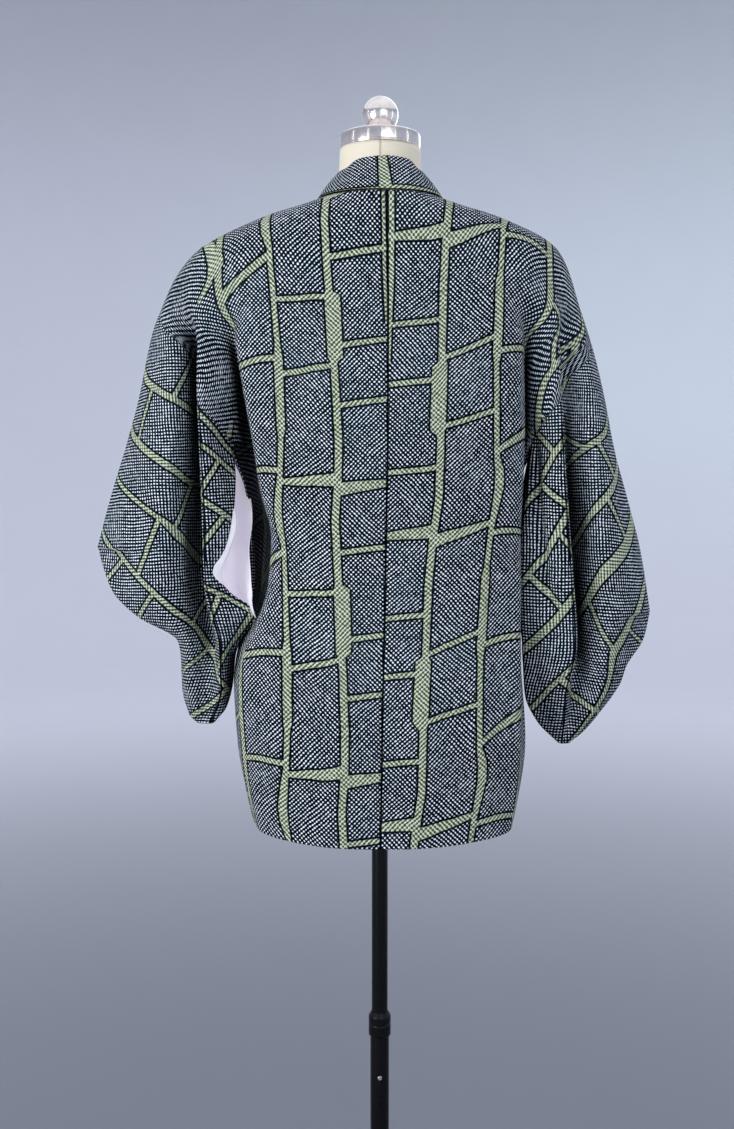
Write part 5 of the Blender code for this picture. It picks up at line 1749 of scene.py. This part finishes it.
def form_mesh():
    """Smooth limbless body with shoulder caps and a neck."""
    sheet = Sheet()
    above = None
    levels = list(np.arange(float(TORSO["z"][-1]), float(TORSO["z"][0]), -FORM_STEP)) + [float(TORSO["z"][0])]
    for z in levels:
        half, back, front = (read(TORSO, n, z) for n in ("half", "back", "front"))
        power = 2 / (2.0 + (FORM_POWER - 2.0) * (1.0 - smoothstep(*FORM_NECK, z)))
        angles = 2 * math.pi * np.arange(FORM_SEGMENTS + 1) / FORM_SEGMENTS + 0.5 * math.pi
        c, s = np.cos(angles), np.sin(angles)
        x = half * np.sign(c) * np.abs(c) ** power
        y = np.where(s > 0, back, front) * np.sign(s) * np.abs(s) ** power
        points = np.column_stack([x, y, np.full(len(x), z)])
        run = np.concatenate([[0.0], np.cumsum(np.hypot(np.diff(x), np.diff(y)))])
        new = sheet.row(points[:-1], np.column_stack([run, np.full(len(run), z)])[:-1])
        new.append(new[0])
        if above:
            sheet.between(above, new)
        above = new
    sheet.faces.append(above[:-1][::-1])
    sheet.faces.append(list(range(FORM_SEGMENTS)))
    return sheet.mesh("form_cover")


def seam_layer(mesh):
    """Distance from the nearest seam of the cover: down its middle, or down its sides at y = 0."""
    corners = np.empty(len(mesh.loops), dtype=np.int32)
    mesh.loops.foreach_get("vertex_index", corners)
    places = np.empty(len(mesh.vertices) * 3)
    mesh.vertices.foreach_get("co", places)
    middle, side = places.reshape(-1, 3)[corners].T[:2]
    values = np.where(np.abs(middle) < np.abs(side), middle, side)
    layer = mesh.uv_layers.new(name="seams")
    layer.data.foreach_set("uv", np.column_stack([values, values]).astype(np.float32).ravel())


class HAORI_OT_form(bpy.types.Operator):
    """Cover the limbless form in linen"""
    bl_idname = "haori.form"
    bl_label = "Form Cover"

    def execute(self, context):
        finish = finish_of("form_linen", linen, context.scene.haori_stand)
        mesh = form_mesh()
        seam_layer(mesh)
        dressed("form_cover", mesh, "form", ["torso"], finish, 0.0)
        return {"FINISHED"}


class HAORI_OT_stand(bpy.types.Operator):
    """Turn the cap, the ball, the pole with its lock collar, the pin and the base"""
    bl_idname = "haori.stand"
    bl_label = "Stand"

    def execute(self, context):
        look = context.scene.haori_stand
        metal = finish_of("turned_steel", steel, look)
        black = finish_of("satin_enamel", enamel, look)
        for name, (body, node, slot, radius, steps, profile, place) in STAND_PIECES.items():
            mesh = lathe(name, rounded(profile, radius), steps, place)
            dressed(name, mesh, body, [node], metal if slot == "brushed_steel" else black, 0.0)
        return {"FINISHED"}


def aim(light, place, target):
    """Hang a light at a place, turned towards its target and out of the camera's sight."""
    lamp = bpy.data.objects.new(light.name, light)
    lamp.location = place
    across, along, up = (t - p for t, p in zip(target, place))
    lamp.rotation_euler = (math.atan2(math.hypot(across, along), -up), 0.0, math.atan2(-across, along))
    lamp.visible_camera = False
    bpy.context.scene.collection.objects.link(lamp)


class HAORI_OT_stage(bpy.types.Operator):
    """Set the floor, the room, the lights and the camera"""
    bl_idname = "haori.stage"
    bl_label = "Stage"

    def execute(self, context):
        look = context.scene.haori_stage
        mesh = lathe("floor", FLOOR_PROFILE, FLOOR_STEPS)
        mesh.flip_normals()
        floor = bpy.data.objects.new("floor", mesh)
        mesh.materials.append(painted_studio_paper(look))
        context.scene.collection.objects.link(floor)
        floor.location.z = -FLOOR_CLEAR
        world = bpy.data.worlds.new("studio_room")
        world.use_nodes = True
        room = world.node_tree.nodes["Background"]
        room.inputs["Color"].default_value = plain(look.room_colour)
        room.inputs["Strength"].default_value = look.room_strength
        context.scene.world = world
        for name, power, size, place in (
                ("key", look.key_power, KEY_SIZE, KEY_PLACE),
                ("side", look.key_power * SIDE_SHARE, SIDE_SIZE, SIDE_PLACE),
                ("front", look.fill_power, FRONT_SIZE, FRONT_PLACE)):
            light = bpy.data.lights.new(name, "AREA")
            light.energy = power
            light.shape = "DISK"
            light.size = size
            light.spread = LIGHT_SPREAD
            aim(light, place, FORM_MIDDLE)
        for turn in STRIP_TURNS:
            light = bpy.data.lights.new("strip", "AREA")
            light.energy = look.strip_power
            light.shape = "RECTANGLE"
            light.size, light.size_y = STRIP_SIZE
            angle = math.radians(turn)
            place = (STRIP_AWAY * math.sin(angle), STRIP_AWAY * math.cos(angle), STRIP_Z)
            aim(light, place, (0.0, 0.0, STRIP_Z))
        lens = bpy.data.cameras.new("camera")
        lens.sensor_fit = "VERTICAL"
        lens.sensor_height = CAMERA_SENSOR
        lens.lens = CAMERA_LENS
        camera = bpy.data.objects.new("camera", lens)
        camera.location = CAMERA_PLACE
        camera.rotation_euler = (0.5 * math.pi - CAMERA_TILT, 0.0, math.pi)
        context.scene.collection.objects.link(camera)
        context.scene.camera = camera
        context.scene.view_settings.view_transform = "Standard"
        return {"FINISHED"}


OPERATORS = (HAORI_OT_form, HAORI_OT_bodies, HAORI_OT_sleeves, HAORI_OT_gussets, HAORI_OT_collar,
             HAORI_OT_lining, HAORI_OT_fold_shade, HAORI_OT_stand, HAORI_OT_stage)


class HAORI_PT_parts(bpy.types.Panel):
    """Lists the pieces of the haori and its stand"""
    bl_idname = "HAORI_PT_parts"
    bl_label = "Haori"
    bl_space_type = "VIEW_3D"
    bl_region_type = "UI"
    bl_category = "Haori"

    def draw(self, context):
        for operator in OPERATORS:
            self.layout.operator(operator.bl_idname)
        for group in (context.scene.haori_cloth, context.scene.haori_stand, context.scene.haori_stage):
            box = self.layout.box()
            for name in group.bl_rna.properties.keys():
                if name not in ("rna_type", "name"):
                    box.prop(group, name)


LOOKS = {"haori_cloth": HaoriClothLook, "haori_stand": HaoriStandLook, "haori_stage": HaoriStageLook}
CLASSES = (*LOOKS.values(), *OPERATORS, HAORI_PT_parts)


def register():
    for made in CLASSES:
        bpy.utils.register_class(made)
    for name, group in LOOKS.items():
        setattr(bpy.types.Scene, name, bpy.props.PointerProperty(type=group))


def unregister():
    for name in LOOKS:
        delattr(bpy.types.Scene, name)
    for made in reversed(CLASSES):
        bpy.utils.unregister_class(made)


def main():
    register()
    for operator in OPERATORS:
        group, name = operator.bl_idname.split(".")
        getattr(getattr(bpy.ops, group), name)()


if __name__ == "__main__":
    main()
